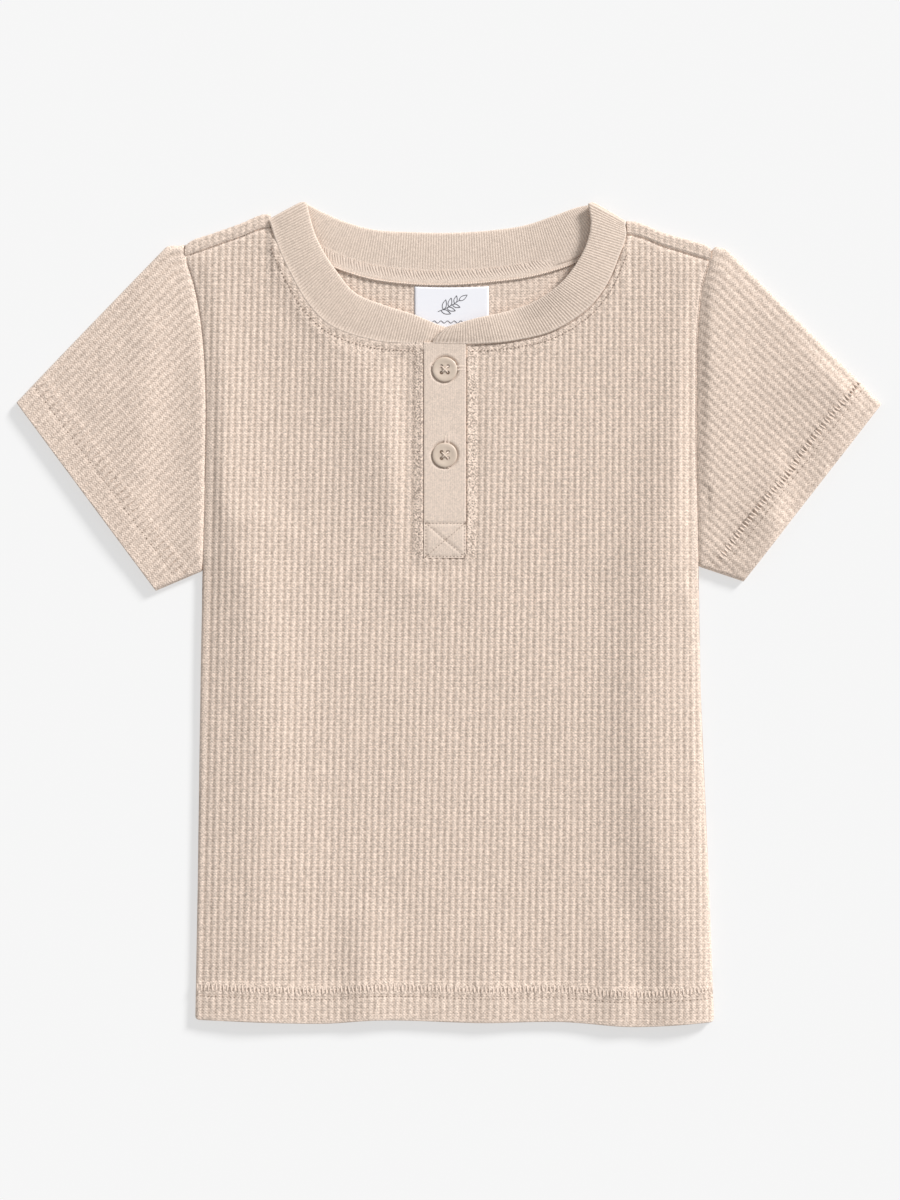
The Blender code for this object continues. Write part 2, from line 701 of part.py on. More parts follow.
def make_label():
    """The woven label, its top edge under the tape's."""
    below_seam = (1.0 - TAPE_ABOVE_SEAM) * TAPE_DEPTH + SEAM_GAP
    top = read_table(BACK_NECK, "x", "y", LABEL_X) - below_seam
    z = BACK_TOP + SEAM_GAP + LABEL_WALL / 2

    def place(column, row):
        x = LABEL_X + LABEL_WIDTH * (column / 4 - 0.5)
        upper = top + LABEL_TOP_CURVE * x * x - SEAM_GAP
        return mm(x, blend(upper, top - LABEL_DEPTH, row), z)

    thicken(finish("label", grid_of_points(4, 1, place), (0.91, 0.91, 0.94), 0.5), LABEL_WALL)


# ---- placket -------------------------------------------------------------------------------------


def make_strip(name, left, right, foot, top, bottom_z, colour):
    """A flat strip of the placket with softened edges."""
    bpy.ops.mesh.primitive_cube_add(size=1.0)
    strip = bpy.context.object
    strip.scale = mm(right - left, top - foot, PLACKET_WALL)
    strip.location = mm((left + right) / 2, (foot + top) / 2, bottom_z + PLACKET_WALL / 2)
    bpy.ops.object.transform_apply(location=True, scale=True)
    bm = bmesh.new()
    bm.from_mesh(strip.data)
    bpy.data.objects.remove(strip)
    obj = finish(name, bm, colour, 0.9)
    bevel = obj.modifiers.new("soft edge", "BEVEL")
    bevel.width = STRIP_EDGE * 0.001
    bevel.segments = 2


def make_placket(colour):
    half = PLACKET_WIDTH / 2
    inset = half - SLIT_MARGIN - SEAM_GAP
    make_strip("placket_under", PLACKET_X - inset, PLACKET_X + inset, SLIT_FOOT + SEAM_GAP, PLACKET_TOP,
               FRONT_INSIDE + 0.1, colour)
    make_strip("placket_over", PLACKET_X - half, PLACKET_X + half, PLACKET_FOOT, PLACKET_TOP,
               FRONT_TOP + SEAM_GAP, colour)


def make_button(name, y, colour):
    """A turned button with a raised rim, cut through with four thread holes."""
    bottom = FRONT_TOP + SEAM_GAP + PLACKET_WALL + SEAM_GAP
    radius = BUTTON_DIAMETER / 2
    bm = bmesh.new()
    profile = [mm(radius * ring.out, 0.0, BUTTON_HEIGHT * ring.up) for ring in BUTTON_PROFILE]
    rings = [bm.verts.new(point) for point in profile]
    for one, after in zip(rings, rings[1:]):
        bm.edges.new((one, after))
    button = finish(name, bm, colour, 0.45)
    button.location = mm(PLACKET_X, y, bottom)
    turned = button.modifiers.new("turned", "SCREW")
    turned.steps = turned.render_steps = 28
    turned.use_merge_vertices = True
    turned.merge_threshold = 0.00001
    turned.use_normal_calculate = True
    holes = bmesh.new()
    for side in (-1, 1):
        for end in (-1, 1):
            made = bmesh.ops.create_cone(
                holes,
                cap_ends=True,
                segments=10,
                radius1=BUTTON_HOLE / 2000,
                radius2=BUTTON_HOLE / 2000,
                depth=CUTTER_REACH / 1000,
            )
            at = mm(side * BUTTON_HOLE_OFFSET, end * BUTTON_HOLE_OFFSET, 0.0)
            bmesh.ops.translate(holes, vec=at, verts=made["verts"])
    mesh = bpy.data.meshes.new(name + "_holes")
    holes.to_mesh(mesh)
    holes.free()
    cutter = bpy.data.objects.new(name + "_holes", mesh)
    cutter.location = button.location
    garment.objects.link(cutter)
    cut_away(button, cutter)


# ---- the garment ---------------------------------------------------------------------------------

for obj in list(bpy.data.objects):
    bpy.data.objects.remove(obj)
garment = bpy.data.collections.new("henley")
cutters = bpy.data.collections.new("cutters")
bpy.context.scene.collection.children.link(garment)
bpy.context.scene.collection.children.link(cutters)

KNIT = (0.68, 0.56, 0.47)
BAND_KNIT = (0.71, 0.58, 0.49)
BUTTON_RESIN = (0.63, 0.51, 0.42)

make_back_panel(KNIT)
make_front_panel(KNIT)
for sleeve_name, sleeve_row in SLEEVES.items():
    make_sleeve(sleeve_name, sleeve_row, KNIT)
make_neckband(BAND_KNIT)
make_neck_tape(BAND_KNIT)
make_label()
make_placket(BAND_KNIT)
for button_name, button_y in BUTTONS.items():
    make_button(button_name, button_y, BUTTON_RESIN)
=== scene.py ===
"""A toddler's short-sleeved waffle-knit henley, laid flat on its back on a pale floor.

Metres, +Z up, neck towards +Y; +X is the wearer's left. Sizes are written in millimetres and become
metres where a mesh is made.
"""

import math
from collections import namedtuple

import bmesh
import bpy
import numpy as np
from mathutils import Matrix


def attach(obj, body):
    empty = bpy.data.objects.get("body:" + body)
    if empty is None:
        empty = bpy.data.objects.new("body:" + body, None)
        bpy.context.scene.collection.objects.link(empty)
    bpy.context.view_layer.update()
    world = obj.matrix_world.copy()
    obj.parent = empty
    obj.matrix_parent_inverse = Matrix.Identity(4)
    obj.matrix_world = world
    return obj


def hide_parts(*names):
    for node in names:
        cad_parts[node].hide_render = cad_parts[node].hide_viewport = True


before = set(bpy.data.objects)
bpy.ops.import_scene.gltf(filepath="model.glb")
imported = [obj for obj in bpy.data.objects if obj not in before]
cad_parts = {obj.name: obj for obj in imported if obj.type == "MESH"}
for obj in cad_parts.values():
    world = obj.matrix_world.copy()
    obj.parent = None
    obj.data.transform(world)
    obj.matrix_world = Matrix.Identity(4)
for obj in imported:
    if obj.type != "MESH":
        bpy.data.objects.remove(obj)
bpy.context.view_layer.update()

# ---- back ----------------------------------------------------------------------------------------
# The back is one piece of beige cotton waffle knit. It lies on the floor, wraps forward over each
# shoulder to the shoulder seam, and its inside shows through the neck.

MM = 0.001
WALL = 1.5                  # the waffle knit, ridge to plain inside
BACK_TOP = 1.5              # the height of the back's inside, with its outside on the floor
FRONT_TOP = 3.3             # the height of the front's outside, on the whole
RIB_PITCH = 2.97            # ridge to ridge
ROW_PITCH = 2.49            # pocket to pocket down a groove
RIB_DEPTH = 0.27            # ridge to bar
POCKET_DEPTH = 0.17         # bar to the bottom of a pocket
RIB_PHASES = (0.0, 0.28, 0.5, 0.72)      # a rib's columns of points, as shares of the pitch
BODY_RIBS = (-44, 44)       # enough ribs to reach both sides
GRAIN_LEAN = 0.022          # ribs lean this much at the wearer's right and not at all at the left
GRAIN_LEAN_ENDS = 110.0     # the lean has died away this far to the wearer's left
GRAIN_Y = -60.0             # a rib's number times its pitch is its place at this height
SIDE_ROUND = 1.2            # the side folds' rounding
SIDE_Z = 1.65               # where front and back meet at the sides
SEAM_DIP = 0.75             # how far the cloth is drawn down at a seam
SEAM_REACH = 1.7

Side = namedtuple("Side", "y left right")
SIDES = [                   # side seams up to y = 20, then the armhole seams
    Side(-186.0, -114.3, 119.4),
    Side(-129.0, -113.3, 117.4),
    Side(-75.0, -112.4, 114.9),
    Side(-30.0, -111.9, 113.2),
    Side(20.0, -110.9, 112.4),
    Side(60.0, -109.9, 111.6),
    Side(100.0, -109.5, 111.4),
    Side(128.0, -111.3, 112.0),
    Side(147.0, -114.6, 113.9),
    Side(158.0, -117.9, 116.9),
    Side(167.0, -119.4, 118.5),
]
Hem = namedtuple("Hem", "x y")
HEM = [
    Hem(-115.0, -182.8),
    Hem(-58.0, -184.6),
    Hem(-31.0, -183.0),
    Hem(14.0, -184.2),
    Hem(50.0, -183.8),
    Hem(84.0, -186.0),
    Hem(120.0, -183.8),
]
HEM_Y = -184.0              # the bottom edge, on the whole
HEM_STRAIGHTENS = 60.0      # rows follow the hem's wave over this distance
HEM_CORNER = 1.7            # its two corners' rounding
HEM_ROUND = 0.75            # its edge's rounding, half the wall
HEM_FLATNESS = 0.85         # the knit's relief where it is turned up
HEM_ROWS = (11.0, 14.8)     # a sunken row and a band of loops, measured up from the edge
SEWN_ROUGH = 0.6            # the stitches draw the knit's relief up
SEWN_ROUGH_REACH = 2.6
UNDER_ROW_Z = 0.44          # rows on the underside stay off the floor
SUNKEN_ROW = dict(Pitch=1.7 * MM, Length=1.0 * MM, Thickness=0.55 * MM, Height=0.4 * MM)
LOOP_ROW = dict(
    Pitch=1.7 * MM,
    Length=4.6 * MM,
    Thickness=0.95 * MM,
    Height=0.85 * MM,
    Lean=math.radians(90.0),
    Sway=math.radians(9.0),
)
Shoulder = namedtuple("Shoulder", "x seam fold")
SHOULDERS = [
    Shoulder(-119.0, 160.6, 167.4),
    Shoulder(-107.5, 164.6, 171.0),
    Shoulder(-94.5, 169.1, 175.5),
    Shoulder(-82.0, 173.3, 180.0),
    Shoulder(82.0, 170.0, 176.8),
    Shoulder(96.8, 165.0, 171.6),
    Shoulder(119.0, 158.2, 165.4),
]
SHOULDER_Y = 168.0          # the ribs of a shoulder are told apart at this height
SHOULDER_TIP_X = 119.0      # the shoulders' outer ends
WRAP_END_DROP = 1.4         # the fold is drawn in at those ends
WRAP_END_REACH = 2.5
WRAP_RELIEF = 0.6           # the knit is stretched flatter over the shoulder
NECK_CORNER_X = 82.0        # the neckline's corners, on the whole
NECK_RIGHT_X = -82.0
NECK_LEFT_X = 81.2
Section = namedtuple("Section", "at seam_x seam_y edge_x edge_y")
BAND_BACK = [               # the neckband behind the neck: seam and fold, wearer's right to left
    Section(0, -80.6, 175.6, -63.9, 184.6),
    Section(1, -69.6, 167.6, -56.9, 181.0),
    Section(2, -55.4, 159.2, -46.8, 176.6),
    Section(3, -37.0, 152.7, -33.4, 173.0),
    Section(4, -18.0, 150.0, -16.6, 171.9),
    Section(5, 0.0, 149.6, 0.0, 171.6),
    Section(6, 18.0, 150.8, 16.6, 172.5),
    Section(7, 37.0, 153.4, 33.4, 174.8),
    Section(8, 55.4, 159.0, 46.6, 179.0),
    Section(9, 69.0, 167.0, 56.6, 182.6),
    Section(10, 79.2, 175.2, 62.4, 183.9),
]


def smooth(value):
    value = np.clip(value, 0.0, 1.0)
    return value * value * (3.0 - 2.0 * value)


def blend(a, b, share):
    return a + (b - a) * share


def half_round(distance, radius):
    """1 at a rounded edge, 0 a radius away from it."""
    return 1.0 - np.sqrt(1.0 - (1.0 - np.clip(distance / radius, 0.0, 1.0)) ** 2)


def curve(rows, key, name):
    """The table's column `name` as a smooth function of its column `key`, for whole arrays."""
    rows = sorted(rows, key=lambda row: getattr(row, key))
    keys = np.array([getattr(row, key) for row in rows], float)
    values = np.array([getattr(row, name) for row in rows], float)
    after = np.minimum(np.arange(len(keys)) + 1, len(keys) - 1)
    before = np.maximum(np.arange(len(keys)) - 1, 0)
    slopes = (values[after] - values[before]) / (keys[after] - keys[before])

    def read(at):
        at = np.clip(at, keys[0], keys[-1])
        i = np.clip(np.searchsorted(keys, at, side="right") - 1, 0, len(keys) - 2)
        step = keys[i + 1] - keys[i]
        s = (at - keys[i]) / step
        return (
            (2 * s**3 - 3 * s**2 + 1) * values[i]
            + (s**3 - 2 * s**2 + s) * step * slopes[i]
            + (3 * s**2 - 2 * s**3) * values[i + 1]
            + (s**3 - s**2) * step * slopes[i + 1]
        )

    return read


side_left = curve(SIDES, "y", "left")
side_right = curve(SIDES, "y", "right")
hem_line_y = curve(HEM, "x", "y")
shoulder_seam = curve(SHOULDERS, "x", "seam")
shoulder_fold = curve(SHOULDERS, "x", "fold")
back_neck = curve(BAND_BACK, "seam_x", "seam_y")


def sides_distance(x, y):
    return np.minimum(x - side_left(y), side_right(y) - x)


def hem_edge(x):
    """The hem's edge, its two corners a little rounded."""
    return hem_line_y(x) + HEM_CORNER * half_round(sides_distance(x, HEM_Y), HEM_CORNER)


def grain_x(rib, y):
    """Where rib number `rib` (0 at the middle) stands at height y."""
    x = rib * RIB_PITCH
    return x + GRAIN_LEAN * (1.0 - smooth(x / GRAIN_LEAN_ENDS)) * (y - GRAIN_Y)


def rib_columns(lowest, highest):
    """Rib numbers of the point columns, ridge, flank, groove, flank, over a range of ribs."""
    return np.array([rib + phase for rib in range(lowest, highest) for phase in RIB_PHASES])


def row_y(x, y):
    """Rows are straight, and bend to follow the hem near it."""
    return y + (hem_edge(x) - HEM_Y) * (1.0 - smooth((y - HEM_Y) / HEM_STRAIGHTENS))


def body_grid(ribs, rows, top):
    """The plan of a body panel: its points' x and y, clamped to its outline, and its grain."""
    y = np.repeat(np.array(rows)[:, None], len(ribs), axis=1)
    x = grain_x(ribs[None, :], y)
    x = np.clip(x, side_left(y), side_right(y))
    y = np.minimum(row_y(x, y), top(x))
    grain = np.stack([np.broadcast_to(ribs, x.shape), y / ROW_PITCH], axis=-1)
    return x, y, grain


def seam_dip(distance):
    """How far a sewn edge is drawn down at a distance from its seam."""
    return SEAM_DIP * (1.0 - smooth(distance / SEAM_REACH)) ** 2


def way_along(run):
    """Each point's share of the way along a run of points."""
    way = np.concatenate([[0.0], np.cumsum(np.linalg.norm(np.diff(run, axis=0), axis=-1))])
    return way / way[-1]


def pressed_flat(from_edge):
    """A turned-up hem's knit is pressed a little flatter, and drawn up rough at the stitches."""
    drawn = np.exp(-(((from_edge - HEM_ROWS[1]) / SEWN_ROUGH_REACH) ** 4))
    pressed = blend(HEM_FLATNESS, 1.0, smooth((from_edge - HEM_ROWS[0]) / 2.0))
    return pressed + SEWN_ROUGH * drawn


def closed_shell(name, outer, inner, outer_grain, inner_grain, ring=False, slit=None):
    """A wall from an outer and an inner skin with like columns and their own rows, welded shut; a
    slit leaves out the cells between two columns, from a row up."""
    columns = outer.shape[1]
    points = np.concatenate([outer.reshape(-1, 3), inner.reshape(-1, 3)])
    grain = np.concatenate([outer_grain.reshape(-1, 3), inner_grain.reshape(-1, 3)])
    first = len(outer) * columns
    above = np.arange(first).reshape(-1, columns)
    below = first + np.arange(len(inner) * columns).reshape(-1, columns)

    def quads(near, far):
        a, b = (np.concatenate([r, r[:, :1]], axis=1) if ring else r for r in (near, far))
        return np.stack([a[:, :-1], a[:, 1:], b[:, 1:], b[:, :-1]], axis=-1).reshape(-1, 4)

    skin_above, skin_below = quads(above[:-1], above[1:]), quads(below[1:], below[:-1])
    foot, head = quads(below[:1], above[:1]), quads(above[-1:], below[-1:])
    walls = [] if ring else [(0, 0, 0), (columns - 1, 0, 0)]
    if slit:
        cells = np.arange(columns - 1)
        opened = (cells >= slit.first) & (cells < slit.last)

        def outside_slit(skin, rows, first_row):
            row = np.repeat(np.arange(rows - 1), columns - 1)
            return skin[~((row >= first_row) & np.tile(opened, rows - 1))]

        skin_above = outside_slit(skin_above, len(outer), slit.outer_row)
        skin_below = outside_slit(skin_below, len(inner), slit.inner_row)
        head = head[~opened]
        across = slice(slit.first, slit.last + 1)
        slit_foot = quads(above[slit.outer_row, across][None], below[slit.inner_row, across][None])
        foot = np.concatenate([foot, slit_foot])
        walls += [(column, slit.outer_row, slit.inner_row) for column in (slit.first, slit.last)]
    faces = [tuple(face) for face in np.concatenate([skin_above, skin_below, foot, head]).tolist()]
    for column, row_above, row_below in walls:
        one, other = above[row_above:, column], below[row_below:, column]
        one_at = way_along(outer[row_above:, column])
        other_at = way_along(inner[row_below:, column])
        faces += zipped(one, other, one_at, other_at)
    return welded(name, points, faces, grain)


def zipped(one, other, one_at, other_at):
    """Triangles between two runs of points with unequal counts."""
    faces = []
    i = j = 0
    while i < len(one) - 1 or j < len(other) - 1:
        if j == len(other) - 1 or (i < len(one) - 1 and one_at[i + 1] <= other_at[j + 1]):
            faces.append((int(one[i]), int(one[i + 1]), int(other[j])))
            i += 1
        else:
            faces.append((int(one[i]), int(other[j + 1]), int(other[j])))
            j += 1
    return faces


WELD_REACH = 0.012


def welded(name, points, faces, grain):
    """A mesh object from points in millimetres, its doubles merged and its faces pointing out."""
    mesh = bpy.data.meshes.new(name)
    mesh.from_pydata((points * MM).tolist(), [], faces)
    layer = mesh.attributes.new("grain", "FLOAT_VECTOR", "POINT")
    layer.data.foreach_set("vector", grain.astype(np.float32).ravel())
    bm = bmesh.new()
    bm.from_mesh(mesh)
    bmesh.ops.remove_doubles(bm, verts=bm.verts, dist=WELD_REACH * MM)
    bmesh.ops.recalc_face_normals(bm, faces=bm.faces)
    bm.to_mesh(mesh)
    bm.free()
    mesh.shade_smooth()
    obj = bpy.data.objects.new(name, mesh)
    bpy.context.scene.collection.objects.link(obj)
    return obj


class Tree:
    """A short way to write a node tree: a call adds a node, sets its inputs and gives it back."""

    def __init__(self, tree):
        self.tree = tree

    def add(self, kind, *inputs, **settings):
        node = self.tree.nodes.new(kind)
        for name, value in settings.items():
            setattr(node, name, value)
        for socket, value in enumerate(inputs):
            if value is not None:
                self.put(node.inputs[socket], value)
        return node

    def put(self, socket, value):
        if isinstance(value, bpy.types.Node):
            value = value.outputs[0]
        if isinstance(value, bpy.types.NodeSocket):
            self.tree.links.new(value, socket)
        else:
            socket.default_value = value

    def math(self, operation, *inputs):
        return self.add("ShaderNodeMath", *inputs, operation=operation)

    def product(self, first, *others):
        for other in others:
            first = self.math("MULTIPLY", first, other)
        return first

    def wave(self, turns):
        """1 at whole numbers of turns, -1 halfway between them."""
        return self.math("COSINE", self.math("MULTIPLY", turns, 2 * math.pi))

    def noise(self, place, scale, detail=1.0, roughness=0.5):
        return self.add("ShaderNodeTexNoise", place, None, scale, detail, roughness)


def geometry_tree(name, sockets):
    """A Geometry Nodes tree with named inputs: (name, socket type, value) each."""
    tree = bpy.data.node_groups.new(name, "GeometryNodeTree")
    tree.interface.new_socket("Geometry", in_out="INPUT", socket_type="NodeSocketGeometry")
    for label, kind, value in sockets:
        socket = tree.interface.new_socket(label, in_out="INPUT", socket_type=kind)
        if value is not None:
            socket.default_value = value
    tree.interface.new_socket("Geometry", in_out="OUTPUT", socket_type="NodeSocketGeometry")
    nodes = Tree(tree)
    return nodes, nodes.add("NodeGroupInput"), nodes.add("NodeGroupOutput")


SHARP_OVER = math.radians(100.0)


def run_nodes(obj, nodes, **values):
    """Runs a Geometry Nodes tree on an object and keeps the result as its plain mesh."""
    modifier = obj.modifiers.new(nodes.tree.name, "NODES")
    modifier.node_group = nodes.tree
    for item in nodes.tree.interface.items_tree:
        if item.in_out == "INPUT" and item.name.replace(" ", "_") in values:
            modifier[item.identifier] = values[item.name.replace(" ", "_")]
    bpy.context.view_layer.update()
    evaluated = obj.evaluated_get(bpy.context.evaluated_depsgraph_get())
    mesh = bpy.data.meshes.new_from_object(evaluated)
    obj.modifiers.remove(modifier)
    obj.data = mesh
    mesh.name = obj.name
    mesh.set_sharp_from_angle(angle=SHARP_OVER)
    return obj


def finish_nodes(nodes, geometry, group_in, group_out):
    """Ends a tree: instances made real, then the material set."""
    real = nodes.add("GeometryNodeRealizeInstances", geometry)
    painted = nodes.add("GeometryNodeSetMaterial", real)
    nodes.put(painted.inputs["Material"], group_in.outputs["Material"])
    nodes.put(group_out.inputs[0], painted)


GROOVE_SHARPNESS = 2.2      # over 1, a groove is narrower than a rib
RELIEF_UNEVEN = 0.16        # the yarn's unevenness, as a share of the depth
RELIEF_UNEVEN_SCALE = 420.0


def waffle_relief_tree():
    """Presses the grooves and their pockets into a knitted sheet, along its grain."""
    nodes, group_in, group_out = geometry_tree(
        "waffle relief",
        [
            ("Rib depth", "NodeSocketFloat", RIB_DEPTH * MM),
            ("Pocket depth", "NodeSocketFloat", POCKET_DEPTH * MM),
            ("Material", "NodeSocketMaterial", None),
        ],
    )
    grain = nodes.add("GeometryNodeInputNamedAttribute", "grain", data_type="FLOAT_VECTOR")
    split = nodes.add("ShaderNodeSeparateXYZ", grain.outputs["Attribute"])
    rib, row, relief = (split.outputs[axis] for axis in "XYZ")
    valley = nodes.math("MULTIPLY_ADD", nodes.wave(rib), -0.5, 0.5)
    groove = nodes.math("POWER", valley, GROOVE_SHARPNESS)
    pocket = nodes.math("MULTIPLY_ADD", nodes.wave(row), 0.5, 0.5)
    bar_depth = nodes.product(groove, group_in.outputs["Rib depth"])
    pocket_depth = nodes.product(groove, pocket, group_in.outputs["Pocket depth"])
    uneven = nodes.noise(nodes.add("GeometryNodeInputPosition"), RELIEF_UNEVEN_SCALE)
    share = nodes.math("MULTIPLY_ADD", uneven, RELIEF_UNEVEN, 1.0 - RELIEF_UNEVEN / 2)
    rough = nodes.math("MAXIMUM", nodes.math("SUBTRACT", relief, 1.0), 0.0)
    even = nodes.math("MULTIPLY_ADD", rough, -1.5, relief)      # rough knit has no clear grooves
    depth = nodes.product(nodes.math("ADD", bar_depth, pocket_depth), even, share)
    normal = nodes.add("GeometryNodeInputNormal")
    inwards = nodes.add("ShaderNodeVectorMath", normal, operation="SCALE")
    nodes.put(inwards.inputs["Scale"], nodes.math("MULTIPLY", depth, -1.0))
    moved = nodes.add("GeometryNodeSetPosition", group_in.outputs["Geometry"])
    nodes.put(moved.inputs["Offset"], inwards)
    finish_nodes(nodes, moved, group_in, group_out)
    return nodes


def new_material(name):
    """A material, its tree, its shader and the place on the object that it is read at."""
    material = bpy.data.materials.new(name)
    material.use_nodes = True
    nodes = Tree(material.node_tree)
    place = nodes.add("ShaderNodeTexCoord").outputs["Object"]
    return material, nodes, material.node_tree.nodes["Principled BSDF"], place


def set_inputs(node, **values):
    for name, value in values.items():
        node.inputs[name.replace("_", " ")].default_value = value


def add_bump(nodes, shader, height, strength, distance):
    bump = nodes.add("ShaderNodeBump")
    set_inputs(bump, Strength=strength, Distance=distance * MM)
    nodes.put(bump.inputs["Height"], height)
    nodes.put(shader.inputs["Normal"], bump)


HOLLOW_SHARPNESS = 1.6      # over 1, the painted shade of a groove is narrower than its groove
POCKET_TONES = (0.28, 0.70) # half the step in painted shade from bar to pocket, and its share between them
YARN_SCALES = (520.0, 60.0, 1350.0, 1900.0)     # unevenness, tone, fuzz and flecks
LOOPS_TO_ROW = 2.0          # knitted loops to a row of pockets, and to a rib
LOOP_TONE = 0.07
TONE_SWING = 0.04


def knit_material(name, colour, hollow_shade_colour, pocketed, fleck):
    """Knit with painted shade in its hollows, in pockets or all down the grooves, loops and faint
    cotton fuzz.
    """
    material, nodes, shader, place = new_material(name)
    grain = nodes.add("ShaderNodeAttribute", attribute_name="grain")
    split = nodes.add("ShaderNodeSeparateXYZ", grain.outputs["Vector"])
    rib, row, relief = (split.outputs[axis] for axis in "XYZ")
    uneven_scale, tone_scale, fuzz_scale, fleck_scale = YARN_SCALES
    uneven, fuzz = nodes.noise(place, uneven_scale), nodes.noise(place, fuzz_scale, 1.0, 0.7)
    tone = nodes.noise(place, tone_scale, 2.0, 0.6)
    flecks = nodes.add("ShaderNodeTexVoronoi", place, None, fleck_scale, feature="F1")
    fleck_tone = nodes.add("ShaderNodeSeparateColor", flecks.outputs["Color"]).outputs[0]

    # How much of the painted shade in the hollows shows; where the knit is rough, in pits instead.
    valley = nodes.math("MULTIPLY_ADD", nodes.wave(rib), -0.5, 0.5)
    groove = nodes.math("POWER", valley, HOLLOW_SHARPNESS)
    pocket = nodes.math("MULTIPLY_ADD", nodes.wave(row), *POCKET_TONES) if pocketed else 1.0
    rough = nodes.math("MAXIMUM", nodes.math("SUBTRACT", relief, 1.0), 0.0)
    shown = nodes.product(pocket, groove, nodes.math("MINIMUM", relief, 1.0))
    shown = nodes.product(shown, nodes.math("MULTIPLY_ADD", uneven, 0.3, 0.85))
    pits = nodes.math("MULTIPLY_ADD", fleck_tone, 2.2, -1.0)
    pits.use_clamp = True
    knitted = nodes.product(shown, nodes.math("SUBTRACT", 1.0, rough))
    base = nodes.add("ShaderNodeMix", data_type="RGBA")
    nodes.put(base.inputs[0], nodes.math("ADD", knitted, nodes.product(pits, rough)))
    base.inputs[6].default_value = (*colour, 1.0)
    base.inputs[7].default_value = (*hollow_shade_colour, 1.0)

    # The loops of the yarn, in chevrons across each rib, and its flecks.
    chevron = nodes.math("PINGPONG", nodes.product(rib, LOOPS_TO_ROW), 0.5)
    course = nodes.math("ADD", nodes.product(row, LOOPS_TO_ROW), chevron)
    loops = nodes.math("SINE", nodes.product(course, 2 * math.pi))
    flecked = nodes.math("MULTIPLY_ADD", fleck_tone, -fleck, fleck / 2)
    value = nodes.math("MULTIPLY_ADD", tone, TONE_SWING, 0.975)
    value = nodes.math("MULTIPLY_ADD", flecked, nodes.math("MULTIPLY_ADD", rough, 0.4, 1.0), value)
    value = nodes.math("ADD", value, nodes.product(loops, LOOP_TONE))
    varied = nodes.add("ShaderNodeHueSaturation")
    nodes.put(varied.inputs["Value"], value)
    nodes.put(varied.inputs["Color"], base.outputs[2])
    nodes.put(shader.inputs["Base Color"], varied)
    height = nodes.math("MULTIPLY_ADD", loops, 0.5, nodes.product(fuzz, 0.5))
    add_bump(nodes, shader, height, 0.5, 0.12)
    set_inputs(shader, Roughness=0.92, Specular_IOR_Level=0.2)
    set_inputs(shader, Sheen_Weight=0.25, Sheen_Roughness=0.5)
    return material


STITCH_SEED = 7
STITCH_FACETS = (6, 4)      # round a stitch and along it


def stitch_tree():
    """Stitches along a line: each lies along it, leans off it, or leans to either side in turn."""
    labels = ("Pitch", "Length", "Thickness", "Height", "Lean", "Sway")
    sockets = [(label, "NodeSocketFloat", 0.0) for label in labels]
    sockets.append(("Material", "NodeSocketMaterial", None))
    nodes, group_in, group_out = geometry_tree("stitches", sockets)
    path = nodes.add("GeometryNodeMeshToCurve", group_in.outputs["Geometry"])
    places = nodes.add("GeometryNodeResampleCurve", path, mode="LENGTH")
    nodes.put(places.inputs["Length"], group_in.outputs["Pitch"])
    aligned = nodes.add("FunctionNodeAlignRotationToVector", axis="X")
    nodes.put(aligned.inputs["Vector"], nodes.add("GeometryNodeInputTangent"))
    chance = nodes.add("FunctionNodeRandomValue", data_type="FLOAT")
    for socket, limit in ((2, -1.0), (3, 1.0)):
        chance.inputs[socket].default_value = limit
    chance.inputs["Seed"].default_value = STITCH_SEED
    lean, sway = group_in.outputs["Lean"], group_in.outputs["Sway"]
    leaning = nodes.math("MULTIPLY_ADD", chance.outputs[1], sway, lean)
    angle = nodes.add("ShaderNodeCombineXYZ", 0.0, 0.0, leaning)
    leant = nodes.add("FunctionNodeRotateRotation", aligned, rotation_space="LOCAL")
    nodes.put(leant.inputs["Rotate By"], nodes.add("FunctionNodeEulerToRotation", angle))
    size = nodes.add("ShaderNodeCombineXYZ")
    for axis, label in (("X", "Length"), ("Y", "Thickness"), ("Z", "Height")):
        nodes.put(size.inputs[axis], group_in.outputs[label])
    bead = nodes.add("GeometryNodeMeshUVSphere", *STITCH_FACETS, 0.5)
    shaped = nodes.add("GeometryNodeTransform", bead)
    nodes.put(shaped.inputs["Scale"], size)
    placed = nodes.add("GeometryNodeInstanceOnPoints", places)
    nodes.put(placed.inputs["Instance"], nodes.add("GeometryNodeSetShadeSmooth", shaped))
    nodes.put(placed.inputs["Rotation"], leant)
    finish_nodes(nodes, placed, group_in, group_out)
    return nodes


TWIST_SCALE = 2600.0


def thread_material(name, colour):
    """Matt cotton thread with a fine twist."""
    material, nodes, shader, place = new_material(name)
    twist = nodes.noise(place, TWIST_SCALE)
    varied = nodes.add("ShaderNodeHueSaturation")
    nodes.put(varied.inputs["Value"], nodes.math("MULTIPLY_ADD", twist, 0.5, 0.75))
    varied.inputs["Color"].default_value = (*colour, 1.0)
    nodes.put(shader.inputs["Base Color"], varied)
    set_inputs(shader, Roughness=0.8, Sheen_Weight=0.2)
    return material


def lines_mesh(name, lines):
    """An object of open lines through points in millimetres."""
    points, edges = [], []
    for line in lines:
        edges += [(len(points) + i, len(points) + i + 1) for i in range(len(line) - 1)]
        points += (np.asarray(line, float) * MM).tolist()
    mesh = bpy.data.meshes.new(name)
    mesh.from_pydata(points, edges, [])
    obj = bpy.data.objects.new(name, mesh)
    bpy.context.scene.collection.objects.link(obj)
    return obj


def sew(name, lines, slot, **values):
    """Stitches along lines, riding with the cloth."""
    obj = run_nodes(lines_mesh(name, lines), stitches, **values)
    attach(obj, "root")
    return obj


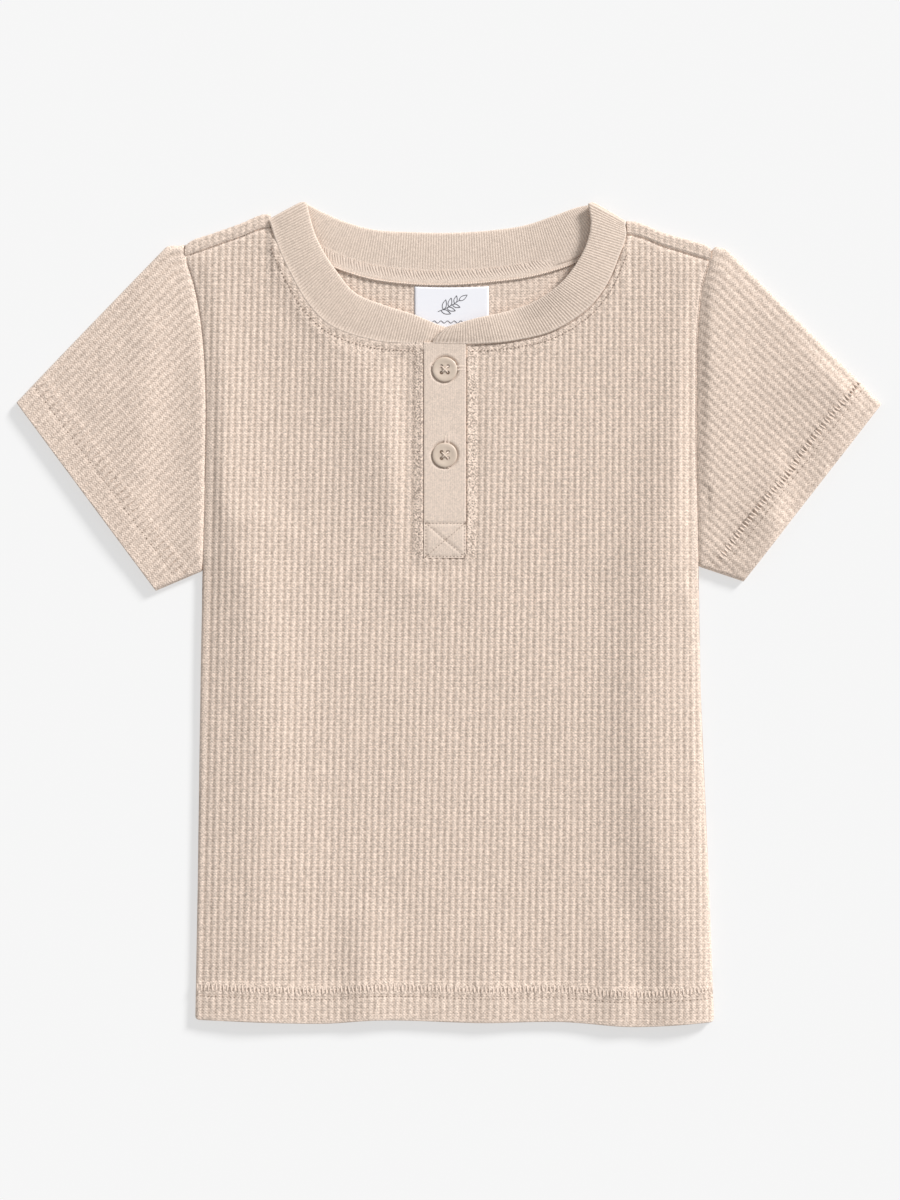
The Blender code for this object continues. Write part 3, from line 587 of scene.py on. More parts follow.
stitches = stitch_tree()
# Two copies of the beige thread darkened as painted shade: one for loops and the tape's chain, one
# darker still for rows of stitches and the buttons' shanks, standing in for the shade where they
# sink into the knit.
shaded_thread = thread_material("shaded_thread", (0.72, 0.59, 0.498))
sunken_thread = thread_material("sunken_thread", (0.36, 0.27, 0.215))
waffle_tree = waffle_relief_tree()
# The knit's second colour is the painted shade of its hollows.
waffle_knit = knit_material("waffle_knit", (0.748, 0.613, 0.518), (0.505, 0.393, 0.318), True, 0.5)


def stack(x, y, z):
    """Points from their x, y and z."""
    return np.stack([x, y, np.broadcast_to(z, x.shape)], axis=-1)


def with_relief(grain, relief):
    return np.concatenate([grain, np.broadcast_to(relief, grain.shape[:2])[..., None]], axis=-1)


def no_relief(points):
    return np.zeros(points.shape)


ribs_across = rib_columns(*BODY_RIBS)


def past_neck(x):
    """x, moved out of the neck to its nearer corner."""
    return np.copysign(np.maximum(np.abs(x), NECK_CORNER_X), x)


def in_neck(x):
    return (x > NECK_RIGHT_X) & (x < NECK_LEFT_X)


def back_top(x):
    """Where the back's flat part ends: short of the fold on the shoulders, and at the neck seam."""
    at_shoulder = shoulder_fold(past_neck(x)) - FRONT_TOP / 2
    return np.where(in_neck(x), np.minimum(back_neck(x), at_shoulder), at_shoulder)


HEM_EDGE_ROWS = [HEM_Y + up for up in (0.0, 0.2, 0.7, 1.4)]
LOW_ROWS = [HEM_Y + up for up in (14.0, 60.0, 150.0, 230.0)]
BACK_ROWS_TO = 182.0        # past the back's upper edge
UNDER_ROW_PITCH = 4.0
INSIDE_ROWS_FROM = 112.0    # the inside is knitted in full from here up
INSIDE_RELIEF_FROM = 114.0


def back_outside():
    """The underside, flat on the floor, with rounded side folds."""
    rows = HEM_EDGE_ROWS + list(np.arange(HEM_Y + UNDER_ROW_PITCH, BACK_ROWS_TO, UNDER_ROW_PITCH))
    x, y, grain = body_grid(ribs_across, rows, back_top)
    from_side = sides_distance(x, y)
    from_hem = y - hem_edge(x)
    at_hem = half_round(from_hem, HEM_ROUND)
    z = np.maximum(half_round(from_side, SIDE_ROUND) * SIDE_Z, at_hem * BACK_TOP / 2)
    relief = smooth((from_side - 0.8) / 2.0) * smooth((from_hem - 0.8) / 2.0)
    relief *= pressed_flat(from_hem) * smooth((back_top(x) - y - 0.5) / 2.0)
    return stack(x, y, z), with_relief(grain, relief)


def back_inside():
    """The inside: plain low down, knitted in full where the neck shows it."""
    rows = HEM_EDGE_ROWS + LOW_ROWS + list(np.arange(INSIDE_ROWS_FROM, BACK_ROWS_TO, ROW_PITCH / 2))
    x, y, grain = body_grid(ribs_across, rows, back_top)
    from_side = sides_distance(x, y)
    at_hem = half_round(y - hem_edge(x), HEM_ROUND)
    z = BACK_TOP - at_hem * BACK_TOP / 2 + (SIDE_Z - BACK_TOP) * (1.0 - smooth(from_side))
    shown = blend(0.75, 0.5, smooth((x - 10.0) / 20.0)) * smooth((y - INSIDE_RELIEF_FROM) / 4.0)
    shown = shown * smooth((back_top(x) - y) / 3.0) * smooth(from_side / 3.0)
    return stack(x, y, z), with_relief(grain, shown)


outer, outer_grain = back_outside()
inner, inner_grain = back_inside()
back = closed_shell("back_waffle", outer, inner, outer_grain, inner_grain)
run_nodes(back, waffle_tree, Material=waffle_knit)


def shoulder_wrap(name, low, high):
    """The back's cloth over the shoulder's fold and forward to the seam, between two ribs."""
    x = grain_x(ribs_across, SHOULDER_Y)
    between = (x > low) & (x < high)
    ribs, x = ribs_across[between], x[None, between]
    radius = FRONT_TOP / 2
    drawn_in = WRAP_END_DROP * np.exp(-(((np.abs(x) - SHOULDER_TIP_X) / WRAP_END_REACH) ** 2))
    fold_y = shoulder_fold(x) - radius - drawn_in

    def skin(depth):
        rows = []
        for angle in np.linspace(0.0, math.pi, 9):
            y = fold_y + (radius - depth) * math.sin(angle)
            rows.append(stack(x, y, radius - (radius - depth) * math.cos(angle)))
        for share in np.linspace(0.0, 1.0, 9)[1:]:
            y = blend(fold_y, shoulder_seam(x), share)
            dip = seam_dip(y - shoulder_seam(x)) * (1.0 - depth / WALL)
            rows.append(stack(x, y, FRONT_TOP - depth - dip))
        return np.concatenate(rows)

    outer, inner = skin(0.0), skin(WALL * 0.9)
    steps = np.linalg.norm(np.diff(outer[:, 0], axis=0), axis=-1)
    rise = np.concatenate([[0.0], np.cumsum(steps)])[:, None]
    rib, row = (np.broadcast_to(grain, outer.shape[:2]) for grain in (ribs, rise / ROW_PITCH))
    relief = smooth(rise / 2.0) * smooth((rise[-1] - rise) / 2.0) * WRAP_RELIEF
    grain = with_relief(np.stack([rib, row], axis=-1), relief)
    return closed_shell(name, outer, inner, grain, no_relief(inner))


wrap_right = shoulder_wrap("shoulder_right_waffle", -119.3, -80.2)
wrap_left = shoulder_wrap("shoulder_left_waffle", 79.6, 118.4)
for wrap in (wrap_right, wrap_left):
    run_nodes(wrap, waffle_tree, Material=waffle_knit)
    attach(wrap, "root")
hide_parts("back_panel")
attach(back, "root")


def hem_line(row, height):
    x = np.linspace(float(side_left(HEM_Y)) + 1.0, float(side_right(HEM_Y)) - 1.0, 400)
    y = hem_edge(x) + row
    return stack(x, y, height(x, y))


def sewn_hem(name, lines, slot, **loops):
    """The sunken row and the band of loops of a turned-up hem, both in threads darkened as painted
    shade.
    """
    sunken, looped = lines
    sew(name + "_row", sunken, slot, Material=sunken_thread, **SUNKEN_ROW)
    sew(name + "_loops", looped, slot, Material=shaded_thread, **(LOOP_ROW | loops))


under_lines = [[hem_line(row, lambda x, y: UNDER_ROW_Z)] for row in HEM_ROWS]
sewn_hem("back_hem", under_lines, "waffle_knit")

# ---- front ---------------------------------------------------------------------------------------
# The front is one piece of the same knit, scooped at the neck and slit for the placket. It lies on
# the back in two long soft folds and short pulls, with a turned-up hem.

BAND_FRONT_RIGHT = [        # the neckband on the front, from the wearer's right crease to its end
    Section(0, -80.6, 175.6, -63.9, 184.6),
    Section(1, -77.2, 165.4, -61.0, 173.2),
    Section(2, -72.6, 155.0, -56.9, 163.8),
    Section(3, -63.9, 139.7, -50.4, 153.9),
    Section(4, -52.7, 128.9, -42.0, 144.2),
    Section(5, -34.2, 122.6, -28.6, 138.6),
    Section(6, -19.0, 121.2, -15.9, 134.6),
    Section(7, -8.0, 120.9, -5.2, 130.2),
    Section(8, 6.0, 120.9, 4.5, 127.6),
]
BAND_FRONT_LEFT = [         # from the end on top of the placket to the wearer's left crease
    Section(0, -7.4, 121.3, -0.3, 129.2),
    Section(1, 3.2, 120.9, 4.4, 130.6),
    Section(2, 15.0, 121.2, 13.0, 133.0),
    Section(3, 28.5, 122.5, 23.8, 135.4),
    Section(4, 46.2, 126.8, 37.4, 139.8),
    Section(5, 61.6, 136.4, 48.0, 146.6),
    Section(6, 71.0, 148.1, 55.8, 155.2),
    Section(7, 76.6, 161.0, 61.5, 165.6),
    Section(8, 79.6, 169.8, 63.6, 175.2),
    Section(9, 79.2, 175.2, 62.4, 183.9),
]
FRONT_INSIDE = 1.8          # the height of the front's inside
UNDERARM_Y = 20.0
HEM_DEPTH = 17.4            # cloth turned up inside
HEM_STEP = 0.35             # the turned-up cloth's lift
HEM_EDGE = 0.5              # how far in from the hem's edge it is rounded
HEM_EDGE_SHARE = 0.35       # the outside's share of that rounding; the inside has the rest
SEWN_DIP = 0.25             # the stitches press the knit down
SEWN_DIP_REACH = 0.9
PLACKET_X = -1.9            # the middle of the placket's strips
PLACKET_WIDTH = 19.1
PLACKET_FOOT = 25.0
SLIT_FOOT = 42.0            # the slit ends here, above the stitched box
SLIT_MIDDLE = 80.0
SLIT_MARGIN = 0.9           # the upper strip covers this much of the front beside the slit
SLIT_DRAW = 14.0            # the ribs beside the slit are drawn straight over this distance
BAND_TUCK = 1.0             # the front's edge goes this far under the band
TOPSTITCH = 3.0             # a row of stitches this far below the neckband
SETTLE = 9.0                # folds die away over this distance from a seam
SIDE_SETTLE = 5.0           # and this at the wearer's left side seam
STRIP_SETTLE = 14.0         # and this to the wearer's right of the placket
STRIP_CLEAR = 2.5           # beginning this far from the placket
FRONT_LOFT = 0.5

Ridge = namedtuple("Ridge", "y x height left right")
SOFT_RIDGES = [             # two long soft ridges, shoulder to hem, one side steeper than the other
    [
        Ridge(150.0, -108.0, 0.21, 6.0, 8.0),
        Ridge(105.0, -105.0, 1.12, 7.0, 16.0),
        Ridge(60.0, -101.0, 1.83, 8.0, 18.0),
        Ridge(24.0, -93.0, 2.24, 11.0, 17.0),
        Ridge(-16.0, -87.0, 2.13, 15.0, 18.0),
        Ridge(-84.0, -84.0, 1.94, 16.0, 20.0),
        Ridge(-150.0, -86.0, 1.42, 15.0, 19.0),
        Ridge(-184.0, -88.0, 1.12, 13.0, 17.0),
    ],
    [
        Ridge(150.0, 108.0, 0.21, 6.0, 5.0),
        Ridge(115.0, 104.0, 0.81, 9.0, 6.0),
        Ridge(70.0, 102.0, 2.03, 13.0, 8.0),
        Ridge(20.0, 95.0, 2.44, 16.0, 16.0),
        Ridge(-30.0, 88.0, 2.44, 15.0, 22.0),
        Ridge(-85.0, 91.0, 2.34, 15.0, 22.0),
        Ridge(-130.0, 99.0, 2.34, 14.0, 16.0),
        Ridge(-184.0, 104.0, 1.63, 13.0, 12.0),
    ],
]
Fold = namedtuple("Fold", "x1 y1 x2 y2 height left right")
FRONT_FOLDS = [             # from their upper to their lower ends
    Fold(-48.0, 128.0, -9.0, 22.0, 1.83, 17.0, 14.0),
    Fold(15.0, 108.0, 13.0, 40.0, 0.81, 5.0, 24.0),
    Fold(-98.0, 44.0, -66.0, 34.0, 0.5, 7.0, 7.0),
    Fold(100.0, 40.0, 74.0, 22.0, 0.5, 7.0, 7.0),
    Fold(-38.0, -140.0, -37.0, -192.0, 1.73, 9.0, 12.0),
    Fold(19.0, -150.0, 18.0, -192.0, 0.81, 8.0, 10.0),
    Fold(75.0, -146.0, 77.0, -192.0, 1.42, 9.0, 8.0),
]
SEAM_STAND = 1.05           # the bulk of the seam lifts both sides of the wearer's right armhole
SEAM_STAND_REACH = 10.0
NECK_STAND = 1.35           # and the front's edge beside the neckband
NECK_STAND_REACH = 5.0
PLACKET_STAND = (1.42, 1.1) # and the front beside the placket, to the wearer's right and left
PLACKET_STAND_REACH = (4.7, 6.5)
RIPPLES = (0.16, 0.05)      # the slow and the quick ripples' heights
SEAM_ROW = dict(Pitch=1.2 * MM, Length=1.25 * MM, Thickness=0.32 * MM, Height=0.3 * MM)

LEFT_CORNER = Section(9, 80.4, 175.2, 62.4, 183.9)
neckline = [*BAND_FRONT_RIGHT[:-1], *BAND_FRONT_LEFT[1:-1], LEFT_CORNER]
front_neck = curve(neckline, "seam_x", "seam_y")
ridge_lines = [[curve(ridge, "y", name) for name in Ridge._fields[1:]] for ridge in SOFT_RIDGES]


def front_seam_top(x):
    """The front's sewn upper edge: shoulder seam, neckline, shoulder seam."""
    shoulder = shoulder_seam(past_neck(x))
    return np.where(in_neck(x), np.minimum(front_neck(x), shoulder), shoulder)


def neck_slope(x):
    return front_neck(x + 0.5) - front_neck(x - 0.5)


def front_top(x):
    """Its cloth edge, tucked a little under the band."""
    shoulder = shoulder_seam(past_neck(x))
    tucked = front_neck(x) + BAND_TUCK * np.hypot(1.0, neck_slope(x))
    return np.where(in_neck(x), np.minimum(tucked, shoulder), shoulder)


def neck_distance(x, y):
    """Roughly how far a point is from the neckline, square to it; below it is positive."""
    return (front_neck(x) - y) / np.hypot(1.0, neck_slope(x))


def below_neck(x, distance):
    """The line a distance below the neckline, square to it."""
    away = distance / np.hypot(1.0, neck_slope(x))
    return x + neck_slope(x) * away, front_neck(x) - away


def fold_height(folds, x, y):
    """The lift that a list of folds gives, each side of a fold with its own reach."""
    lift = np.zeros(np.shape(x))
    for fold in folds:
        run_x, run_y = fold.x2 - fold.x1, fold.y2 - fold.y1
        along_run = (x - fold.x1) * run_x + (y - fold.y1) * run_y
        share = np.clip(along_run / (run_x**2 + run_y**2), 0.0, 1.0)
        off_x, off_y = x - fold.x1 - run_x * share, y - fold.y1 - run_y * share
        reach = np.where(run_x * off_y - run_y * off_x > 0.0, fold.right, fold.left)
        towards_ends = 1.0 - 0.5 * np.abs(2.0 * share - 1.0)
        lift += fold.height * towards_ends * np.exp(-((np.hypot(off_x, off_y) / reach) ** 2))
    return lift


def seam_stand(y, from_seam):
    """How far the wearer's right armhole seam stands up, from the underarm to near the shoulder."""
    along_seam = smooth((y - 16.0) / 12.0) * smooth((150.0 - y) / 60.0)
    return SEAM_STAND * along_seam * np.exp(-((from_seam / SEAM_STAND_REACH) ** 2))


def neck_stand(x, y):
    """How far the front's edge stands up beside the neckband, most at the wearer's right."""
    share = blend(1.0, 0.6, smooth((x + 10.0) / 30.0)) * smooth((174.0 - y) / 8.0)
    from_neck = np.maximum(neck_distance(x, y), 0.0)
    return NECK_STAND * share * np.exp(-((from_neck / NECK_STAND_REACH) ** 2))


def ripple(x, y):
    """The slight unevenness of cloth laid down by hand: slow and quick waves that drift."""
    slow = np.sin(x / 17.0 + 1.3 * np.sin(y / 41.0)) * np.cos(y / 29.0 + 0.8 * np.sin(x / 33.0))
    quick = np.sin(x / 7.3 - y / 11.0) * np.sin(y / 9.1 + x / 23.0)
    return RIPPLES[0] * slow + RIPPLES[1] * quick


def from_strip(x):
    """How far x is outside the placket's upper strip; inside it is negative."""
    return np.abs(x - PLACKET_X) - PLACKET_WIDTH / 2


def placket_stand(x, y, from_placket, at_left):
    """How far the front stands up beside the placket, less at its foot, and not under the strip."""
    inside = np.minimum(PLACKET_WIDTH / 2 - np.abs(x - PLACKET_X), y - PLACKET_FOOT)
    shown = blend(0.55, 1.0, smooth((y - PLACKET_FOOT + 2.0) / 8.0)) * smooth((0.5 - inside) / 0.6)
    reach, stand = blend(*PLACKET_STAND_REACH, at_left), blend(*PLACKET_STAND, at_left)
    return stand * shown * np.exp(-((from_placket / reach) ** 2))


def front_lift(x, y):
    """How far the front stands off its seams' level."""
    lift = fold_height(FRONT_FOLDS, x, y) + FRONT_LOFT + ripple(x, y)
    for middle, height, left, right in ridge_lines:
        off = x - middle(y)
        lift += height(y) * np.exp(-((off / np.where(off > 0.0, right(y), left(y))) ** 2))
    from_placket = np.hypot(np.maximum(0.0, from_strip(x)), np.maximum(0.0, PLACKET_FOOT - y))
    below_arm = smooth((UNDERARM_Y - y) / 20.0)
    settle_left = smooth((x - side_left(y)) / SETTLE)
    settle_right = smooth((side_right(y) - x) / blend(SETTLE, SIDE_SETTLE, below_arm))
    settled = settle_left * settle_right * smooth((front_seam_top(x) - y) / SETTLE)
    at_left = smooth((x - PLACKET_X) / 8.0 + 0.5)
    settled_strip = smooth((from_placket - STRIP_CLEAR) / blend(STRIP_SETTLE, SETTLE, at_left))
    stands = seam_stand(y, x - side_left(y)) + neck_stand(x, y) * settle_left * settle_right
    stands = np.maximum(stands, placket_stand(x, y, from_placket, at_left))
    return lift * settled * settled_strip + stands


def drawn_up(x, y):
    """Where seams draw the knit up rough: beside the placket and under the neckband."""
    above_foot = smooth((y - PLACKET_FOOT + 4.0) / 8.0)
    beside = above_foot * np.exp(-(((from_strip(x) - 2.2) / 2.8) ** 4))
    under_band = blend(0.7, 0.35, smooth((np.abs(x) - 30.0) / 30.0))
    under_band = under_band * np.exp(-((neck_distance(x, y) / 5.0) ** 4))
    return np.maximum(beside, np.where(in_neck(x), under_band, 0.0))


def front_edges(x, y):
    """The drop of the outside towards its seams, folds and hem."""
    from_side = sides_distance(x, y)
    at_armhole = smooth((y - UNDERARM_Y + 6.0) / 12.0)
    side_drop = half_round(from_side, SIDE_ROUND) * (FRONT_TOP - SIDE_Z)
    drop = blend(side_drop, seam_dip(from_side), at_armhole)
    from_top = np.where(in_neck(x), neck_distance(x, y), front_seam_top(x) - y)
    held = np.where(in_neck(x), blend(0.2, 0.7, smooth((x - 6.0) / 40.0)), 1.0)
    return np.maximum(drop, seam_dip(np.maximum(from_top, 0.0)) * held)


Slit = namedtuple("Slit", "first last outer_row inner_row")
slit_left = PLACKET_X - PLACKET_WIDTH / 2 + SLIT_MARGIN
slit_right = PLACKET_X + PLACKET_WIDTH / 2 - SLIT_MARGIN
slit_y = round(SLIT_FOOT / ROW_PITCH * 2) * ROW_PITCH / 2
ribs_at_slit = grain_x(ribs_across, SLIT_MIDDLE)
slit_first, slit_last = (int(np.argmin(np.abs(ribs_at_slit - x))) for x in (slit_left, slit_right))


def sewn_dip(distance, rows):
    """The trough that rows of stitches press into the knit."""
    return SEWN_DIP * sum(np.exp(-(((distance - row) / SEWN_DIP_REACH) ** 2)) for row in rows)


def turned_up(from_edge):
    """1 where a hem or cuff is turned up, 0 above it."""
    return 1.0 - smooth((from_edge - HEM_DEPTH + 0.6) / 1.2)


def beside_slit(x, y):
    """The ribs draw straight beside the slit."""
    left, right = grain_x(ribs_across[slit_first], y), grain_x(ribs_across[slit_last], y)
    drawn = smooth((y - slit_y + SLIT_DRAW) / SLIT_DRAW)
    to_left = (slit_left - left) * drawn * (1.0 - smooth((left - x) / SLIT_DRAW))
    to_right = (slit_right - right) * drawn * (1.0 - smooth((x - right) / SLIT_DRAW))
    return x + blend(to_left, to_right, np.clip((x - left) / (right - left), 0.0, 1.0))


def front_grid(rows):
    x, y, grain = body_grid(ribs_across, rows, front_top)
    return np.clip(beside_slit(x, y), side_left(y), side_right(y)), y, grain


def front_height(x, y):
    """The front's outside, before the knit's own relief."""
    from_hem = y - hem_edge(x)
    z = FRONT_TOP + front_lift(x, y) - front_edges(x, y)
    z = z + HEM_STEP * turned_up(from_hem)
    z = z - half_round(from_hem, HEM_EDGE) * (WALL + HEM_STEP) * HEM_EDGE_SHARE
    topstitched = np.where(in_neck(x), sewn_dip(neck_distance(x, y), (TOPSTITCH,)), 0.0)
    return z - sewn_dip(from_hem, HEM_ROWS) - topstitched


FRONT_EDGE_ROWS = [HEM_Y + up for up in (0.0, 0.08, 0.25, 0.5)]
FRONT_ROWS_TO = 176.0       # past the front's upper edge
BODY_INSIDE_ROWS = [HEM_Y, HEM_Y + 0.6, -170.0, -150.0, -120.0, -90.0, -60.0, -30.0, 0.0, 24.0]
CHEST_INSIDE_ROWS = [60.0, 75.0, 90.0, 100.0, 110.0, 118.0, 124.0]
NECK_INSIDE_ROWS = [132.0, 142.0, 150.0, 160.0, 168.0, FRONT_ROWS_TO]
FRONT_INSIDE_ROWS = [*BODY_INSIDE_ROWS, slit_y, *CHEST_INSIDE_ROWS, *NECK_INSIDE_ROWS]


def front_outside():
    knit_rows = np.arange(-147, 143) * ROW_PITCH / 2
    rows = FRONT_EDGE_ROWS + [y for y in knit_rows if HEM_Y + 1.0 < y < FRONT_ROWS_TO]
    x, y, grain = front_grid(rows)
    from_hem = y - hem_edge(x)
    relief = smooth((sides_distance(x, y) - 0.4) / 2.0) * smooth((from_hem - 0.6) / 1.5)
    rough = pressed_flat(from_hem) + 0.9 * drawn_up(x, y)
    relief *= smooth((front_seam_top(x) - y - 0.2) / 1.0) * rough
    return stack(x, y, front_height(x, y)), with_relief(grain, relief), rows.index(slit_y)


def front_inside():
    x, y, grain = front_grid(FRONT_INSIDE_ROWS)
    meets = (1.0 - smooth(sides_distance(x, y) / 1.0)) * (1.0 - smooth((y - UNDERARM_Y) / 6.0))
    z = FRONT_INSIDE + front_lift(x, y) - meets * (FRONT_INSIDE - SIDE_Z)
    z += half_round(y - hem_edge(x), 0.8) * WALL / 2
    return stack(x, y, z), FRONT_INSIDE_ROWS.index(slit_y)


outer, outer_grain, outer_row = front_outside()
inner, inner_row = front_inside()
slit = Slit(slit_first, slit_last, outer_row, inner_row)
front = closed_shell("front_waffle", outer, inner, outer_grain, no_relief(inner), slit=slit)
run_nodes(front, waffle_tree, Material=waffle_knit)
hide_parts("front_panel")
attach(front, "root")


def on_front(x, y, above):
    """A line laid on the front's outside."""
    return stack(x, y, front_height(x, y) + above)


hem_lines = [[hem_line(row, lambda x, y: front_height(x, y) - 0.1)] for row in HEM_ROWS]
sewn_hem("front_hem", hem_lines, "waffle_knit")
# The seams and the neck's topstitching are marked by rows of stitches in painted shade, standing in
# for the shade in their ditches.
shoulder_x, armhole_y = np.linspace(84.0, 116.0, 80), np.linspace(60.0, 157.0, 160)
seams = [(x, shoulder_seam(x) - 0.2) for x in (-shoulder_x[::-1], shoulder_x)]
seams += [(side_left(armhole_y) + 0.4, armhole_y), (side_right(armhole_y) - 0.4, armhole_y)]
seams.append(below_neck(np.linspace(12.0, 78.0, 160), 0.45))
seam_lines = [on_front(x, y, 0.08) for x, y in seams]
sew("front_seam_stitches", seam_lines, "waffle_knit", Material=sunken_thread, **SEAM_ROW)
beside_placket = [(-77.0, slit_left - 4.0), (slit_right + 4.0, 77.0)]
topstitched = [below_neck(np.linspace(*ends, 240), TOPSTITCH) for ends in beside_placket]
neck_lines = [on_front(x, y, 0.05) for x, y in topstitched]
sew("neck_topstitching", neck_lines, "waffle_knit", Material=sunken_thread, **SUNKEN_ROW)

# ---- sleeves -------------------------------------------------------------------------------------
# Two short set-in sleeves, each one piece of waffle knit folded along its top edge and seamed under
# the arm, with a turned-in cuff. The ribs run along the fold.

Sleeve = namedtuple(
    "Sleeve", "side fold_top cuff_top cuff_foot underarm bulge flat area loop_height"
)
SLEEVES = {
    "sleeve_wearer_right": Sleeve(
        side=-1,
        fold_top=(-119.6, 166.0),
        cuff_top=(-194.8, 95.0),
        cuff_foot=(-132.0, 10.2),
        underarm=(-111.4, 19.0),
        bulge=5.0,
        flat=(0.225, 0.118),
        area=0.0141,
        loop_height=0.5,
    ),
    "sleeve_wearer_left": Sleeve(
        side=1,
        fold_top=(119.6, 164.9),
        cuff_top=(194.8, 94.4),
        cuff_foot=(132.6, 14.4),
        underarm=(112.9, 21.0),
        bulge=3.4,
        flat=(0.219, 0.114),
        area=0.0134,
        loop_height=0.85,
    ),
}
SLEEVE_RELIEF = 0.65        # the sleeves are stretched flatter
SLEEVE_LOFT = 0.3
SLEEVE_RIB_PITCH = 3.27
SLEEVE_ROW_PITCH = 2.19
FIRST_RIB = 1.4             # the first rib's distance from the fold
UNDERARM_CLEAR = 1.2        # and the last one's from the underarm
SEAM_SLANT = 0.75           # the armhole seam crosses the ribs at a slant
SLEEVE_FOLDS = [            # both sleeves, from their upper to their lower ends
    Fold(-134.0, 150.0, -141.0, 45.0, 1.52, 14.0, 9.0),
    Fold(-155.0, 118.0, -160.0, 74.0, 0.61, 8.0, 8.0),
    Fold(118.0, 154.0, 117.5, 60.0, 1.73, 3.5, 16.0),
    Fold(178.0, 122.0, 172.0, 78.0, 2.03, 24.0, 10.0),
    Fold(148.0, 62.0, 143.0, 24.0, 2.44, 11.0, 6.0),
]
Armhole = namedtuple("Armhole", "across along")


